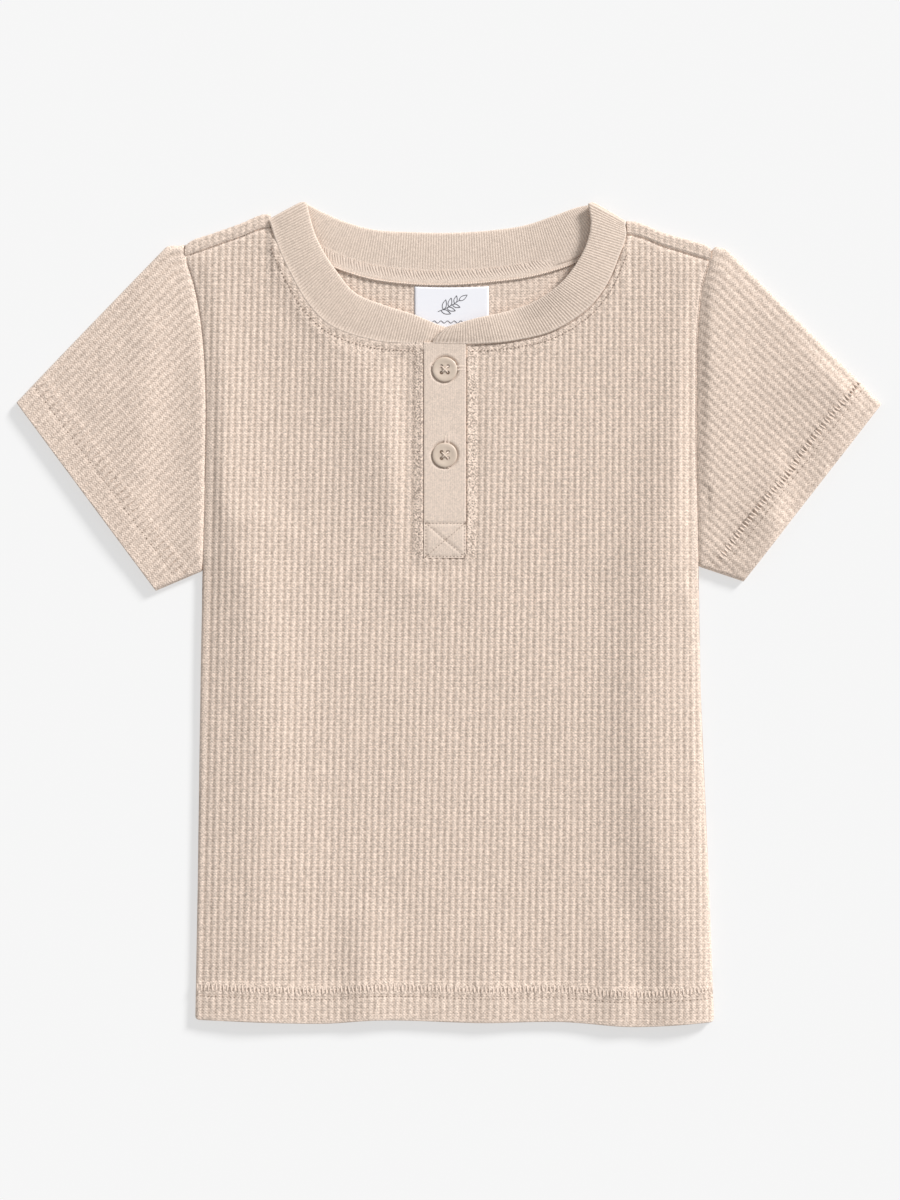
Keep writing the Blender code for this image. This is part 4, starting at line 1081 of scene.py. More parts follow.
def make_sleeve(name, sleeve):
    """A flattened tube, its columns running along the ribs and its rows across them."""
    origin = np.array(sleeve.fold_top)
    along = np.array(sleeve.cuff_top) - origin
    along /= np.linalg.norm(along)
    across = np.array((-along[1], along[0])) * -sleeve.side

    def measure(point):
        away = np.array(point) - origin
        return float(away @ along), float(away @ across)

    side = side_left if sleeve.side < 0 else side_right
    corners = (sleeve.cuff_top, sleeve.cuff_foot, sleeve.underarm)
    cuff_top, cuff_foot, underarm = (measure(corner) for corner in corners)
    seam = [measure((float(side(y)), y)) for y in np.linspace(170.0, sleeve.underarm[1], 30)]
    start = curve([Armhole(q, p) for p, q in seam], "across", "along")

    def end(q):
        return blend(cuff_top[0], cuff_foot[0], q / cuff_foot[1])

    def foot(p):
        """The underarm edge: its distance from the fold at p."""
        run = (p - underarm[0]) / (cuff_foot[0] - underarm[0])
        return blend(underarm[1], cuff_foot[1], np.clip(run, 0.0, 1.0))

    round_in = np.array([0.0, 0.1, 0.4, 0.9])
    ribs = rib_columns(0, int(underarm[1] / SLEEVE_RIB_PITCH) + 1) * SLEEVE_RIB_PITCH + FIRST_RIB
    widths = np.concatenate([round_in, ribs, -round_in[::-1]])
    is_end = np.arange(len(widths)) >= len(round_in) + len(ribs)

    def across_to(edge):
        """The columns' places across, with the underarm's edge there."""
        return np.where(is_end, edge + widths, np.minimum(widths, edge - UNDERARM_CLEAR))

    def plan(rows, from_cuff):
        """p and q of the grid: rows along the sleeve, the last ones told from the cuff's edge."""
        p = np.repeat(np.array(list(rows) + [0.0] * len(from_cuff))[:, None], len(widths), axis=1)
        q = across_to(foot(p))
        p = np.clip(p, start(q), end(q) - from_cuff[0])
        for k, short in enumerate(from_cuff, len(rows)):
            q[k] = across_to(foot(np.array([cuff_foot[0]])))
            p[k] = end(q[k]) - short
        edge = foot(p)
        q = np.where(is_end, edge + widths, np.minimum(q, edge - UNDERARM_CLEAR))
        return p, q, edge

    def shape(p, q, edge):
        run = np.clip((p - start(q)) / (end(q) - start(q)), 0.0, 1.0)
        swell = smooth(run / 0.07) * (1.0 - run) ** 0.9
        pushed = q - sleeve.bulge * swell * (1.0 - q / edge) ** 6
        flat = origin + p[..., None] * along + pushed[..., None] * across
        return flat[..., 0], flat[..., 1]

    half = FRONT_TOP / 2

    def lift(x, y, from_edge, from_seam):
        settled = smooth(from_edge / SETTLE) * smooth(from_seam / 4.0)
        stand = seam_stand(y, from_seam) if sleeve.side < 0 else 0.0
        folds = fold_height(SLEEVE_FOLDS, x, y) + SLEEVE_LOFT + ripple(x, y)
        return folds * settled + stand * smooth(from_edge / 3.0)

    def skin(p, q, edge, upper, depth):
        x, y = shape(p, q, edge)
        from_edge = np.minimum(q, edge - q)
        from_seam = (p - start(q)) * SEAM_SLANT
        from_cuff = end(q) - p
        outside = depth == 0.0
        rounding = 1.0 - half_round(from_edge, half)
        cuff_round = half_round(from_cuff, HEM_EDGE)
        if upper:
            z = half + (half - depth) * rounding + lift(x, y, from_edge, from_seam)
            if outside:
                z += HEM_STEP * turned_up(from_cuff) * smooth(from_edge / 2.0)
                z -= seam_dip(from_seam) * rounding
            share = HEM_EDGE_SHARE if outside else HEM_EDGE_SHARE - 1.0
            z -= cuff_round * (WALL * share) * rounding
        else:
            z = half - (half - depth) * rounding
            z += (seam_dip(from_seam) * 0.6 if outside else 0.0) * rounding
            z += cuff_round * (WALL / 2 if outside else -WALL / 2) * rounding
        if outside:
            z += sewn_dip(from_cuff, HEM_ROWS) * (-1.0 if upper else 0.3) * rounding
        relief = smooth((from_edge - 0.5) / 2.0) * smooth((from_seam - 0.4) / 2.0)
        relief = relief * smooth((from_cuff - 0.6) / 1.5) * pressed_flat(from_cuff)
        grain = np.stack([(q - FIRST_RIB) / SLEEVE_RIB_PITCH, p / SLEEVE_ROW_PITCH], axis=-1)
        return stack(x, y, z), with_relief(grain, SLEEVE_RELIEF * relief if outside else 0.0)

    row_count = int(cuff_foot[0] / SLEEVE_ROW_PITCH) * 2 + 2
    fine = plan(np.arange(0, row_count) * SLEEVE_ROW_PITCH / 2, (0.5, 0.25, 0.08, 0.0))
    coarse = plan(np.linspace(0.0, cuff_foot[0], 12), (0.0,))
    skins = []
    for grid, depth in ((fine, 0.0), (coarse, WALL)):
        both = zip(skin(*grid, True, depth), skin(*grid, False, depth))
        skins.append([np.concatenate([top, under[:, ::-1]], axis=1) for top, under in both])
    (outer, outer_grain), (inner, inner_grain) = skins
    q = np.linspace(UNDERARM_CLEAR, cuff_foot[1] - UNDERARM_CLEAR, 260)[None, :]
    lines = []
    for row in HEM_ROWS:
        p = end(q) - row
        top, under = (skin(p, q, foot(p), upper, 0.0)[0][0] for upper in (True, False))
        lines.append([top - np.array((0.0, 0.0, 0.1)), under + np.array((0.0, 0.0, UNDER_ROW_Z))])
    return closed_shell(name + "_waffle", outer, inner, outer_grain, inner_grain, ring=True), lines


for sleeve_name, sleeve_row in SLEEVES.items():
    sleeve, cuff_lines = make_sleeve(sleeve_name, sleeve_row)
    sewn_hem(sleeve_name + "_cuff", cuff_lines, "waffle_knit", Height=sleeve_row.loop_height * MM)
    run_nodes(sleeve, waffle_tree, Material=waffle_knit)
    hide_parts(sleeve_name)
    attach(sleeve, "root")

# ---- neckband ------------------------------------------------------------------------------------
# The band is one strip of fine-wale knit, doubled over, its fold towards the neck. It lies on the
# front, turns down over each shoulder and runs behind the neck; its left end laps over the right.

BAND_FRONT_Z = 3.9          # middle of the wall on the front
BAND_BACK_Z = 0.77          # and behind the neck
BAND_TURN = 0.425           # the turn over a shoulder bulges by this share of its height
BAND_POINTS = 300           # along each part of the band, before it is cut to its wales
BAND_LAP_RISE = (0.5, 1.2)  # of the lapping end, at its seam and at its folded edge
BAND_LAP_X = 34.0           # where it begins to rise
BAND_LAP_RUN = 18.0
BAND_UNDER_DROP = 1.1       # the end under the lap sinks into the slit
BAND_TILT = 2.2             # the folded edge stands up at the wearer's left
BAND_CROWN = 0.14
BAND_BEAD = 0.12            # the seam's rolled edge stands up at the wearer's right
BAND_END_BULGE = 1.5        # the lapping end is cut in a curve
BACK_STAND = 1.3            # the back of the band rises towards the wearer's left shoulder
CORNER_ROUND = 1.8          # the folded edge is drawn in where the band turns over a shoulder
WALE_PITCH = 1.17
WALE_DEPTH = 0.2
COURSE_PITCH = 0.8
Across = namedtuple("Across", "share past out crown bead relief")
BAND_OUTSIDE = [            # across the band: share of its depth, mm past that, mm off its middle
    Across(0, 0.0, 0.10, 0, 0.0, 0.0),
    Across(0, 0.10, 0.48, 0, 0.8, 0.2),
    Across(0, 0.45, 0.66, 0, 1.0, 0.4),
    Across(0, 0.85, 0.68, 0, 0.7, 0.6),
    Across(0, 1.40, 0.66, 0, 0.0, 1.0),
    Across(0.2, 0.0, 0.70, 1, 0.0, 1.0),
    Across(0.4, 0.0, 0.74, 1, 0.0, 1.0),
    Across(0.6, 0.0, 0.74, 1, 0.0, 1.0),
    Across(0.8, 0.0, 0.72, 1, 0.0, 1.0),
    Across(1, -1.5, 0.70, 0, 0.0, 1.0),
    Across(1, -0.7, 0.62, 0, 0.0, 0.8),
    Across(1, -0.2, 0.40, 0, 0.0, 0.5),
    Across(1, 0.0, 0.0, 0, 0.0, 0.3),
]
BAND_INSIDE = [
    Across(1, -0.2, -0.40, 0, 0.0, 0.5),
    Across(1, -0.7, -0.62, 0, 0.0, 0.8),
    Across(1, -1.5, -0.70, 0, 0.0, 1.0),
    Across(0.7, 0.0, -0.74, -1, 0.0, 1.0),
    Across(0.4, 0.0, -0.74, -1, 0.0, 1.0),
    Across(0, 1.4, -0.70, 0, 0.0, 0.6),
    Across(0, 0.3, -0.60, 0, 0.0, 0.0),
]


def along(sections, count):
    """Seam and edge points read at even places on smooth curves through a table."""
    at = np.linspace(0.0, len(sections) - 1.0, count)
    columns = np.stack([curve(sections, "at", name)(at) for name in Section._fields[1:]], axis=-1)
    return columns[:, :2], columns[:, 2:]


def band_path():
    """Seam line, edge line and outward side, from the end under the lap to the one on top."""
    parts = []

    def put(seam, edge, seam_z, edge_z, side):
        lines = [stack(line[:, 0], line[:, 1], z) for line, z in ((seam, seam_z), (edge, edge_z))]
        parts.append((*lines, np.broadcast_to(side, (len(seam), 3))))

    def shoulder_turn(crease, outward, turn, tilt, stand):
        seam, edge = np.array(crease[1:3]), np.array(crease[3:5])
        run = (edge - seam) / np.linalg.norm(edge - seam)
        out = np.array((-run[1], run[0])) * outward
        side = np.concatenate([out * np.sin(turn)[:, None], np.cos(turn)[:, None]], axis=1)
        rise = (1.0 + np.cos(turn)) / 2
        low = BAND_BACK_Z + stand
        reach = out * (BAND_TURN * np.sin(turn))[:, None]
        drawn = run * (CORNER_ROUND * np.sin(turn) ** 2)[:, None]
        seam_high, edge_high = BAND_FRONT_Z - low, BAND_FRONT_Z + tilt - low
        seam, edge = seam + reach * seam_high, edge + reach * edge_high - drawn
        put(seam, edge, low + rise * seam_high, low + rise * edge_high, side)

    turn = np.linspace(0.0, math.pi, 26)[1:-1]
    seam, edge = (line[::-1] for line in along(BAND_FRONT_RIGHT, BAND_POINTS))
    sunk = BAND_UNDER_DROP * smooth((seam[:, 0] + 13.0) / 9.0)
    put(seam, edge, BAND_FRONT_Z - sunk, BAND_FRONT_Z - sunk, (0.0, 0.0, 1.0))
    shoulder_turn(BAND_FRONT_RIGHT[0], 1.0, turn, 0.0, 0.0)
    seam, edge = along(BAND_BACK, BAND_POINTS)
    stand = BACK_STAND * smooth((seam[:, 0] - 30.0) / 44.0)
    put(seam, edge, BAND_BACK_Z + stand, BAND_BACK_Z + stand, (0.0, 0.0, -1.0))
    shoulder_turn(BAND_FRONT_LEFT[-1], -1.0, turn[::-1], BAND_TILT, BACK_STAND)
    seam, edge = (line[::-1] for line in along(BAND_FRONT_LEFT, BAND_POINTS))
    lapped = smooth((BAND_LAP_X - (seam[:, 0] + edge[:, 0]) / 2) / BAND_LAP_RUN)
    tilted = BAND_TILT * smooth((edge[:, 0] - 28.0) / 24.0)
    seam_z, edge_z = (BAND_FRONT_Z + rise * lapped for rise in BAND_LAP_RISE)
    put(seam, edge, seam_z, edge_z + tilted, (0.0, 0.0, 1.0))
    return [np.concatenate(lines) for lines in zip(*parts)]


def at_lengths(lengths, known, line):
    """A line's points at other lengths along it."""
    return np.stack([np.interp(lengths, known, line[:, i]) for i in range(line.shape[1])], axis=-1)


def lofted(name, rings, grain):
    """A closed solid through rings of points, its two ends filled."""
    count, around = rings.shape[:2]
    index = np.arange(count * around).reshape(count, around)
    beside = np.roll(index, -1, axis=1)
    faces = np.stack([index[:-1], beside[:-1], beside[1:], index[1:]], axis=-1)
    faces = faces.reshape(-1, 4).tolist() + [index[0].tolist(), index[-1][::-1].tolist()]
    return welded(name, rings.reshape(-1, 3), faces, grain.reshape(-1, 3))


def make_band():
    """The band as rings of points, four to a wale."""
    seam, edge, side = band_path()
    steps = np.linalg.norm(np.diff((seam + edge) / 2, axis=0), axis=1)
    length = np.concatenate([[0.0], np.cumsum(steps)])
    wales = int(length[-1] / WALE_PITCH)
    lengths = np.linspace(0.0, length[-1], wales * 4 + 1)
    seam, edge, side = (at_lengths(lengths, length, line) for line in (seam, edge, side))
    side /= np.linalg.norm(side, axis=1)[:, None]
    depth = np.linalg.norm(edge - seam, axis=1)
    run = (edge - seam) / depth[:, None]
    forward = np.gradient((seam + edge) / 2, axis=0)
    forward /= np.linalg.norm(forward, axis=1)[:, None]
    upward = side[:, 2]
    at_right = smooth((upward - 0.5) * 2.0) * smooth((-18.0 - seam[:, 0]) / 6.0)
    on_top = smooth((lengths - lengths[-1] + 7.0) / 7.0) ** 2
    at_lap = smooth((26.0 - lengths) / 8.0)
    rings, grains = [], []
    for row in (*BAND_OUTSIDE, *BAND_INSIDE):
        a = row.share * depth + row.past
        faces_up = np.maximum(0.0, upward * (1 if row.crown >= 0 else -1))
        out = row.out + row.crown * BAND_CROWN * faces_up + row.bead * BAND_BEAD * at_right
        share = a / depth
        bulge = BAND_END_BULGE * 4.0 * share * (1.0 - share) * on_top
        rings.append(seam + run * a[:, None] + side * out[:, None] + forward * bulge[:, None])
        # Near the end under the lap, the relief is raised towards full: the wales are deeper and
        # carry more painted shade, standing in for the lap's shadow on them.
        shown = row.relief * blend(0.8, 1.0, smooth(upward + 0.5)) * (1.0 + 0.8 * at_lap)
        wale = lengths / lengths[-1] * wales
        grains.append(np.stack([wale, a / COURSE_PITCH, np.minimum(1.0, shown)], axis=-1))
    return lofted("neckband_knit", np.stack(rings, axis=1), np.stack(grains, axis=1))


# Its second colour is the painted shade of the hollows between the wales.
band_knit = knit_material("band_knit", (0.79, 0.658, 0.56), (0.60, 0.478, 0.392), False, 0.22)
band = make_band()
run_nodes(band, waffle_tree, Rib_depth=WALE_DEPTH * MM, Pocket_depth=0.0, Material=band_knit)
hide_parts("neckband")
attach(band, "root")

# ---- neck tape -----------------------------------------------------------------------------------
# A narrow tape of the same knit covers the back neck seam inside. Loops and a chain of thread
# hold it down.

TAPE_DEPTH = 8.4
TAPE_ABOVE_SEAM = 0.74      # share of its depth
TAPE_Z = 1.65
TAPE_POINTS = 241
TAPE_WALES = 130.0
TAPE_RELIEF = 0.5
TAPE_LOOPS = dict(
    Pitch=1.3 * MM,
    Length=6.9 * MM,
    Thickness=1.0 * MM,
    Height=0.26 * MM,
    Lean=math.radians(-66.0),
    Sway=math.radians(9.0),
)
TAPE_CHAIN = dict(
    Pitch=1.15 * MM, Length=1.5 * MM, Thickness=0.8 * MM, Height=0.8 * MM, Lean=math.radians(28.0)
)
TapeRow = namedtuple("TapeRow", "down up")
TAPE_ROWS = [               # across the tape, mm down from its upper edge; then its underside
    TapeRow(0.0, -0.3),
    TapeRow(0.8, -0.14),
    TapeRow(2.0, -0.02),
    TapeRow(4.0, 0.1),
    TapeRow(6.4, 0.25),
    TapeRow(7.6, 0.35),
    TapeRow(8.2, 0.2),
    TapeRow(8.4, -0.1),
    TapeRow(7.6, -0.5),
    TapeRow(1.0, -0.5),
]


def tape_line(down, height):
    """The line this far down from the tape's upper edge, following the neckline."""
    rows = [row._replace(at=i) for i, row in enumerate(BAND_BACK[1:-1])]
    seam, edge = along(rows, TAPE_POINTS)
    run = (edge - seam) / np.linalg.norm(edge - seam, axis=1)[:, None]
    at = seam + run * (TAPE_DEPTH * TAPE_ABOVE_SEAM - down)
    return stack(at[:, 0], at[:, 1], TAPE_Z + height)


def make_tape():
    rings = np.stack([tape_line(row.down, row.up) for row in TAPE_ROWS], axis=1)
    wales = np.broadcast_to(np.linspace(0.0, TAPE_WALES, TAPE_POINTS)[:, None], rings.shape[:2])
    downs = np.broadcast_to([row.down for row in TAPE_ROWS], rings.shape[:2])
    return lofted("neck_tape_knit", rings, stack(wales, downs, TAPE_RELIEF))


tape = make_tape()
run_nodes(tape, waffle_tree, Rib_depth=0.05 * MM, Pocket_depth=0.0, Material=band_knit)
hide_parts("neck_tape")
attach(tape, "root")
sew("tape_loops", [tape_line(4.0, 0.12)], "band_knit", Material=shaded_thread, **TAPE_LOOPS)
sew("tape_chain", [tape_line(7.75, 0.42)], "band_knit", Material=shaded_thread, **TAPE_CHAIN)

# ---- label ---------------------------------------------------------------------------------------
# A white woven satin label is caught under the tape at the back of the neck. It has a plain sprig
# and a row of small waves woven in dark thread.

LABEL_WALL = 0.3
LABEL_WIDTH = 33.5
LABEL_DEPTH = 25.0
LABEL_X = 1.2               # its middle
LABEL_Z = 1.55              # its underside
LABEL_TOP_CURVE = 0.0016    # its upper edge follows the neckline: rise per x squared
LABEL_EDGE = 0.3            # its gap to the tape, and its edges' rounding
WEAVE_SCALE = 900.0
MOTIF_X = 1.6
MOTIF_Y = 139.6
MOTIF_Z = LABEL_Z + LABEL_WALL + 0.02
MOTIF_THREAD = 0.3
STEM_FOOT = (-6.5, -3.6)    # off the motif's middle
STEM_RUN = (9.5, 3.4)
STEM_BOW = 1.6
LEAF_PAIRS = 3
LEAF_PLACES = (0.2, 0.27, 0.05)          # shares of the stem: first pair, step, and stagger
LEAF_ANGLE = 28.0           # a pair of leaves' middle, in degrees
LEAF_SPREAD = 48.0
LEAF_LENGTH = 4.6           # the first pair's
LEAF_SHORTER = 0.5          # each next pair is shorter by this
LEAF_FULLNESS = 0.2         # half its width, as a share of its length
TOP_LEAF = (34.0, 4.4)      # its angle and length
WAVES_Y = -8.3
WAVES_HALF = 10.5           # half the length of their row
WAVE_HEIGHT = 0.5
WAVE_TURN = 2.1             # radians to a millimetre


def make_label():
    top = float(back_neck(LABEL_X)) - (1.0 - TAPE_ABOVE_SEAM) * TAPE_DEPTH - LABEL_EDGE
    across = LABEL_X + LABEL_WIDTH * np.linspace(-0.5, 0.5, 41)

    def skin(z, rows, crown):
        share = np.linspace(0.0, 1.0, rows)[:, None]
        upper = top + LABEL_TOP_CURVE * across * across - LABEL_EDGE
        y = blend(top - LABEL_DEPTH, upper[None, :], share)
        x = np.broadcast_to(across, y.shape)
        near = np.minimum(np.minimum(x - across[0], across[-1] - x), y - y[0])
        return stack(x, y, z - crown * half_round(near, LABEL_EDGE))

    outer = skin(LABEL_Z + LABEL_WALL, 31, 0.1)
    inner = skin(LABEL_Z, 3, 0.0)
    return closed_shell("label_satin", outer, inner, no_relief(outer), no_relief(inner))


def satin_material():
    """White woven satin with a fine sheen across."""
    material, nodes, shader, place = new_material("label_satin")
    weave = nodes.add("ShaderNodeTexWave", place, WEAVE_SCALE, bands_direction="Y")
    add_bump(nodes, shader, weave, 0.25, 0.05)
    set_inputs(shader, Base_Color=(0.86, 0.86, 0.905, 1.0), Roughness=0.42)
    return material


def cord_tree():
    """A round thread along lines."""
    nodes, group_in, group_out = geometry_tree(
        "thread",
        [("Thickness", "NodeSocketFloat", 0.3 * MM), ("Material", "NodeSocketMaterial", None)],
    )
    path = nodes.add("GeometryNodeMeshToCurve", group_in.outputs["Geometry"])
    ring = nodes.add("GeometryNodeCurvePrimitiveCircle", 8)
    nodes.put(ring.inputs["Radius"], nodes.math("MULTIPLY", group_in.outputs["Thickness"], 0.5))
    tube = nodes.add("GeometryNodeCurveToMesh", path, ring)
    tube.inputs["Fill Caps"].default_value = True
    finish_nodes(nodes, nodes.add("GeometryNodeSetShadeSmooth", tube), group_in, group_out)
    return nodes


def sprig_lines():
    """A leafy sprig over a row of small waves."""

    def lay(x, y):
        return stack(MOTIF_X + np.asarray(x), MOTIF_Y + np.asarray(y), MOTIF_Z)

    def leaf(root_x, root_y, angle, length):
        way = np.linspace(0.0, 1.0, 11)
        bow = np.sin(way**0.8 * math.pi) * LEAF_FULLNESS * length
        out = np.concatenate([way, way[::-1][1:]]) * length
        wide = np.concatenate([bow, -bow[::-1][1:]])
        x = root_x + out * math.cos(angle) - wide * math.sin(angle)
        return lay(x, root_y + out * math.sin(angle) + wide * math.cos(angle))

    def stem(at):
        x = STEM_FOOT[0] + STEM_RUN[0] * at
        return x, STEM_FOOT[1] + STEM_RUN[1] * at + STEM_BOW * at * at

    lines = [lay(*stem(np.linspace(0.0, 1.0, 24)))]
    first, step, stagger = LEAF_PLACES
    for number in range(LEAF_PAIRS):
        for side in (1.0, -1.0):
            root = stem(first + step * number + stagger * side)
            angle = math.radians(LEAF_ANGLE + side * LEAF_SPREAD)
            lines.append(leaf(*root, angle, LEAF_LENGTH - LEAF_SHORTER * number))
    top_angle, top_length = TOP_LEAF
    lines.append(leaf(*stem(1.0), math.radians(top_angle), top_length))
    wave = np.linspace(-WAVES_HALF, WAVES_HALF, 120)
    lines.append(lay(wave, WAVES_Y + WAVE_HEIGHT * np.sin(wave * WAVE_TURN)))
    return lines


satin = satin_material()
label = make_label()
label.data.materials.append(satin)
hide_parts("label")
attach(label, "root")
threads = cord_tree()
grey_thread = thread_material("grey_thread", (0.10, 0.095, 0.11))
sprig = lines_mesh("label_sprig", sprig_lines())
run_nodes(sprig, threads, Thickness=MOTIF_THREAD * MM, Material=grey_thread)
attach(sprig, "root")

# ---- placket -------------------------------------------------------------------------------------
# Two strips of plain fine knit face the slit; the upper one is stitched down at its foot with a box
# and a cross.

PLACKET_TOP = 120.2
PLACKET_WALL = 1.2
UNDER_Z = 1.9               # the undersides of the two strips
OVER_Z = 3.6
STRIP_GAP = 0.3             # round the lower strip, in the slit
OVER_TOP = PLACKET_TOP + 1.7             # the upper strip's end is tucked under the band
STRIP_WALE = 1.0
STRIP_RELIEF = 0.35
STRIP_GRID = (0.48, 0.55)   # a strip's points, apart across and along it
STRIP_ROUND = 0.9           # its edges' rounding
STRIP_EDGE_DROP = 0.1
FOOT_DROP = 0.4             # it is pressed down towards its foot
FOOT_RUN = 10.0
TOP_RISE = 0.15             # and lifted by the seam at its top
TOP_RUN = 2.4
BUTTONS = {"button_upper": 109.7, "button_lower": 71.2}
BUTTON_DIP = 1.05           # the buttons are drawn down into the strip
BUTTON_DIP_REACH = 6.15
Box = namedtuple("Box", "left foot right top")
BOX = Box(-10.35, 25.65, 7.02, 40.5)     # the stitched box
BOX_STITCH = dict(Pitch=1.45 * MM, Length=0.85 * MM, Thickness=0.5 * MM, Height=0.3 * MM)
STITCH_TROUGH = 0.28
STITCH_TROUGH_REACH = 0.55
HOLE_HALF = 7.2             # a buttonhole's half length
HOLE_ROW = 0.75             # its two rows of stitches, off its cut
HOLE_STITCH = dict(
    Pitch=0.42 * MM, Length=1.3 * MM, Thickness=0.4 * MM, Height=0.4 * MM, Lean=math.radians(90.0)
)


def from_segment(x, y, x1, y1, x2, y2):
    """The distance from the line between two points."""
    along_line = (x - x1) * (x2 - x1) + (y - y1) * (y2 - y1)
    share = np.clip(along_line / ((x2 - x1) ** 2 + (y2 - y1) ** 2), 0.0, 1.0)
    return np.hypot(x - blend(x1, x2, share), y - blend(y1, y2, share))


def box_lines():
    """The four sides of the stitched box, and its cross."""
    left, foot, right, top = BOX
    corners = [(left, foot), (right, foot), (right, top), (left, top)]
    sides = list(zip(corners, corners[1:] + corners[:1]))
    return sides + [(corners[0], corners[2]), (corners[1], corners[3])]


def foot_drop(y, foot):
    return FOOT_DROP * (1.0 - smooth((y - foot) / FOOT_RUN))


def make_strip(name, half_width, foot, top, z, troughs):
    """A strip of the placket, its edges rounded, drawn in at its buttons and its stitches."""
    left, right = PLACKET_X - half_width, PLACKET_X + half_width
    columns, rows = (int(size / step) for size, step in zip((right - left, top - foot), STRIP_GRID))
    across = np.linspace(left, right, columns + 1)
    x, y = np.meshgrid(across, np.linspace(foot, top, rows))
    near = np.minimum(np.minimum(x - left, right - x), y - foot)
    height = z + PLACKET_WALL - half_round(near, STRIP_ROUND) * STRIP_EDGE_DROP - foot_drop(y, foot)
    height = height + TOP_RISE * np.exp(-(((top - y) / TOP_RUN) ** 2))
    for button_y in BUTTONS.values():
        from_button = np.hypot(x - PLACKET_X, y - button_y)
        height = height - BUTTON_DIP * np.exp(-((from_button / BUTTON_DIP_REACH) ** 14))
    for start, end in troughs:
        from_stitches = from_segment(x, y, *start, *end)
        height = height - STITCH_TROUGH * np.exp(-((from_stitches / STITCH_TROUGH_REACH) ** 2))
    low = stack(*np.meshgrid(across, np.linspace(foot, top, 4)), z)
    grain = stack(x / STRIP_WALE, y / COURSE_PITCH, STRIP_RELIEF)
    return closed_shell(name, stack(x, y, height), low, grain, no_relief(low))


half_width = PLACKET_WIDTH / 2
under_half = half_width - SLIT_MARGIN - STRIP_GAP
under = make_strip("placket_under_knit", under_half, SLIT_FOOT + 0.6, PLACKET_TOP, UNDER_Z, [])
over = make_strip("placket_over_knit", half_width, PLACKET_FOOT, OVER_TOP, OVER_Z, box_lines())
for strip, node in ((under, "placket_under"), (over, "placket_over")):
    run_nodes(strip, waffle_tree, Rib_depth=0.1 * MM, Pocket_depth=0.0, Material=band_knit)
    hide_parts(node)
    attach(strip, "root")


def laid_on_strip(ends, above=0.0):
    """A line between two points, in the trough of the upper strip's stitches or above it."""
    (x1, y1), (x2, y2) = ends
    share = np.linspace(0.0, 1.0, 12)
    x, y = blend(x1, x2, share), blend(y1, y2, share)
    return stack(x, y, OVER_Z + PLACKET_WALL - STITCH_TROUGH - foot_drop(y, PLACKET_FOOT) + above)


def buttonhole(x, y, upright):
    """Two rows of close stitches either side of a cut."""
    run = np.array((0.0, HOLE_HALF) if upright else (HOLE_HALF, 0.0))
    off = np.array((HOLE_ROW, 0.0) if upright else (0.0, HOLE_ROW))
    middles = [np.array((x, y)) + side * off for side in (-1.0, 1.0)]
    return [laid_on_strip((middle - run, middle + run), 0.2) for middle in middles]


beige_thread = thread_material("beige_thread", (0.84, 0.705, 0.605))
# The box and its cross are stitched in painted shade, as dark dots.
box_rows = [laid_on_strip(ends) for ends in box_lines()]
sew("placket_box_stitches", box_rows, "band_knit", Material=sunken_thread, **BOX_STITCH)
hole_rows = buttonhole(PLACKET_X + 1.6, 110.3, False) + buttonhole(PLACKET_X + 0.9, 72.6, True)
sew("buttonhole_stitches", hole_rows, "band_knit", Material=beige_thread, **HOLE_STITCH)

# ---- buttons -------------------------------------------------------------------------------------
# Two turned resin buttons with a soft raised rim and four holes are sewn on crosswise through the
# upper strip's buttonholes.

BUTTON_Z = 3.6
BUTTON_FACE = 1.45          # the face's height over the underside
BUTTON_THREAD = 0.42
HOLE_RADIUS = 0.84
HOLE_OFFSET = 1.43          # from the button's middle, across and along
CLOUD_SCALE = 260.0
Turned = namedtuple("Turned", "out up")
BUTTON_PROFILE = [          # millimetres, from the face outwards and under
    Turned(2.5, BUTTON_FACE),
    Turned(3.1, 1.49),
    Turned(3.6, 1.58),
    Turned(4.2, 1.67),
    Turned(4.9, 1.68),
    Turned(5.3, 1.62),
    Turned(5.52, 1.45),
    Turned(5.6, 1.2),
    Turned(5.55, 0.9),
    Turned(5.2, 0.6),
    Turned(4.4, 0.3),
    Turned(3.2, 0.05),
]
SHANK_PROFILE = [Turned(2.2, -0.3), Turned(2.6, -0.1), Turned(2.4, 0.12)]
Strand = namedtuple("Strand", "way up")
STRAND = [                  # a strand's way from hole to hole, and its height over the face
    Strand(-1.0, -1.9),
    Strand(-1.0, -0.5),
    Strand(-0.86, 0.02),
    Strand(-0.5, 0.3),
    Strand(0.0, 0.42),
    Strand(0.5, 0.3),
    Strand(0.86, 0.02),
    Strand(1.0, -0.5),
    Strand(1.0, -1.9),
]


def turned_body(name, profile, facets, x, y, z):
    """A solid turned round an upright axis."""
    turn = np.linspace(0.0, 2.0 * math.pi, facets + 1)[:-1]
    rings = [
        [(x + ring.out * math.cos(a), y + ring.out * math.sin(a), z + ring.up) for a in turn]
        for ring in profile
    ]
    return lofted(name, np.array(rings), np.zeros((len(profile), facets, 3)))


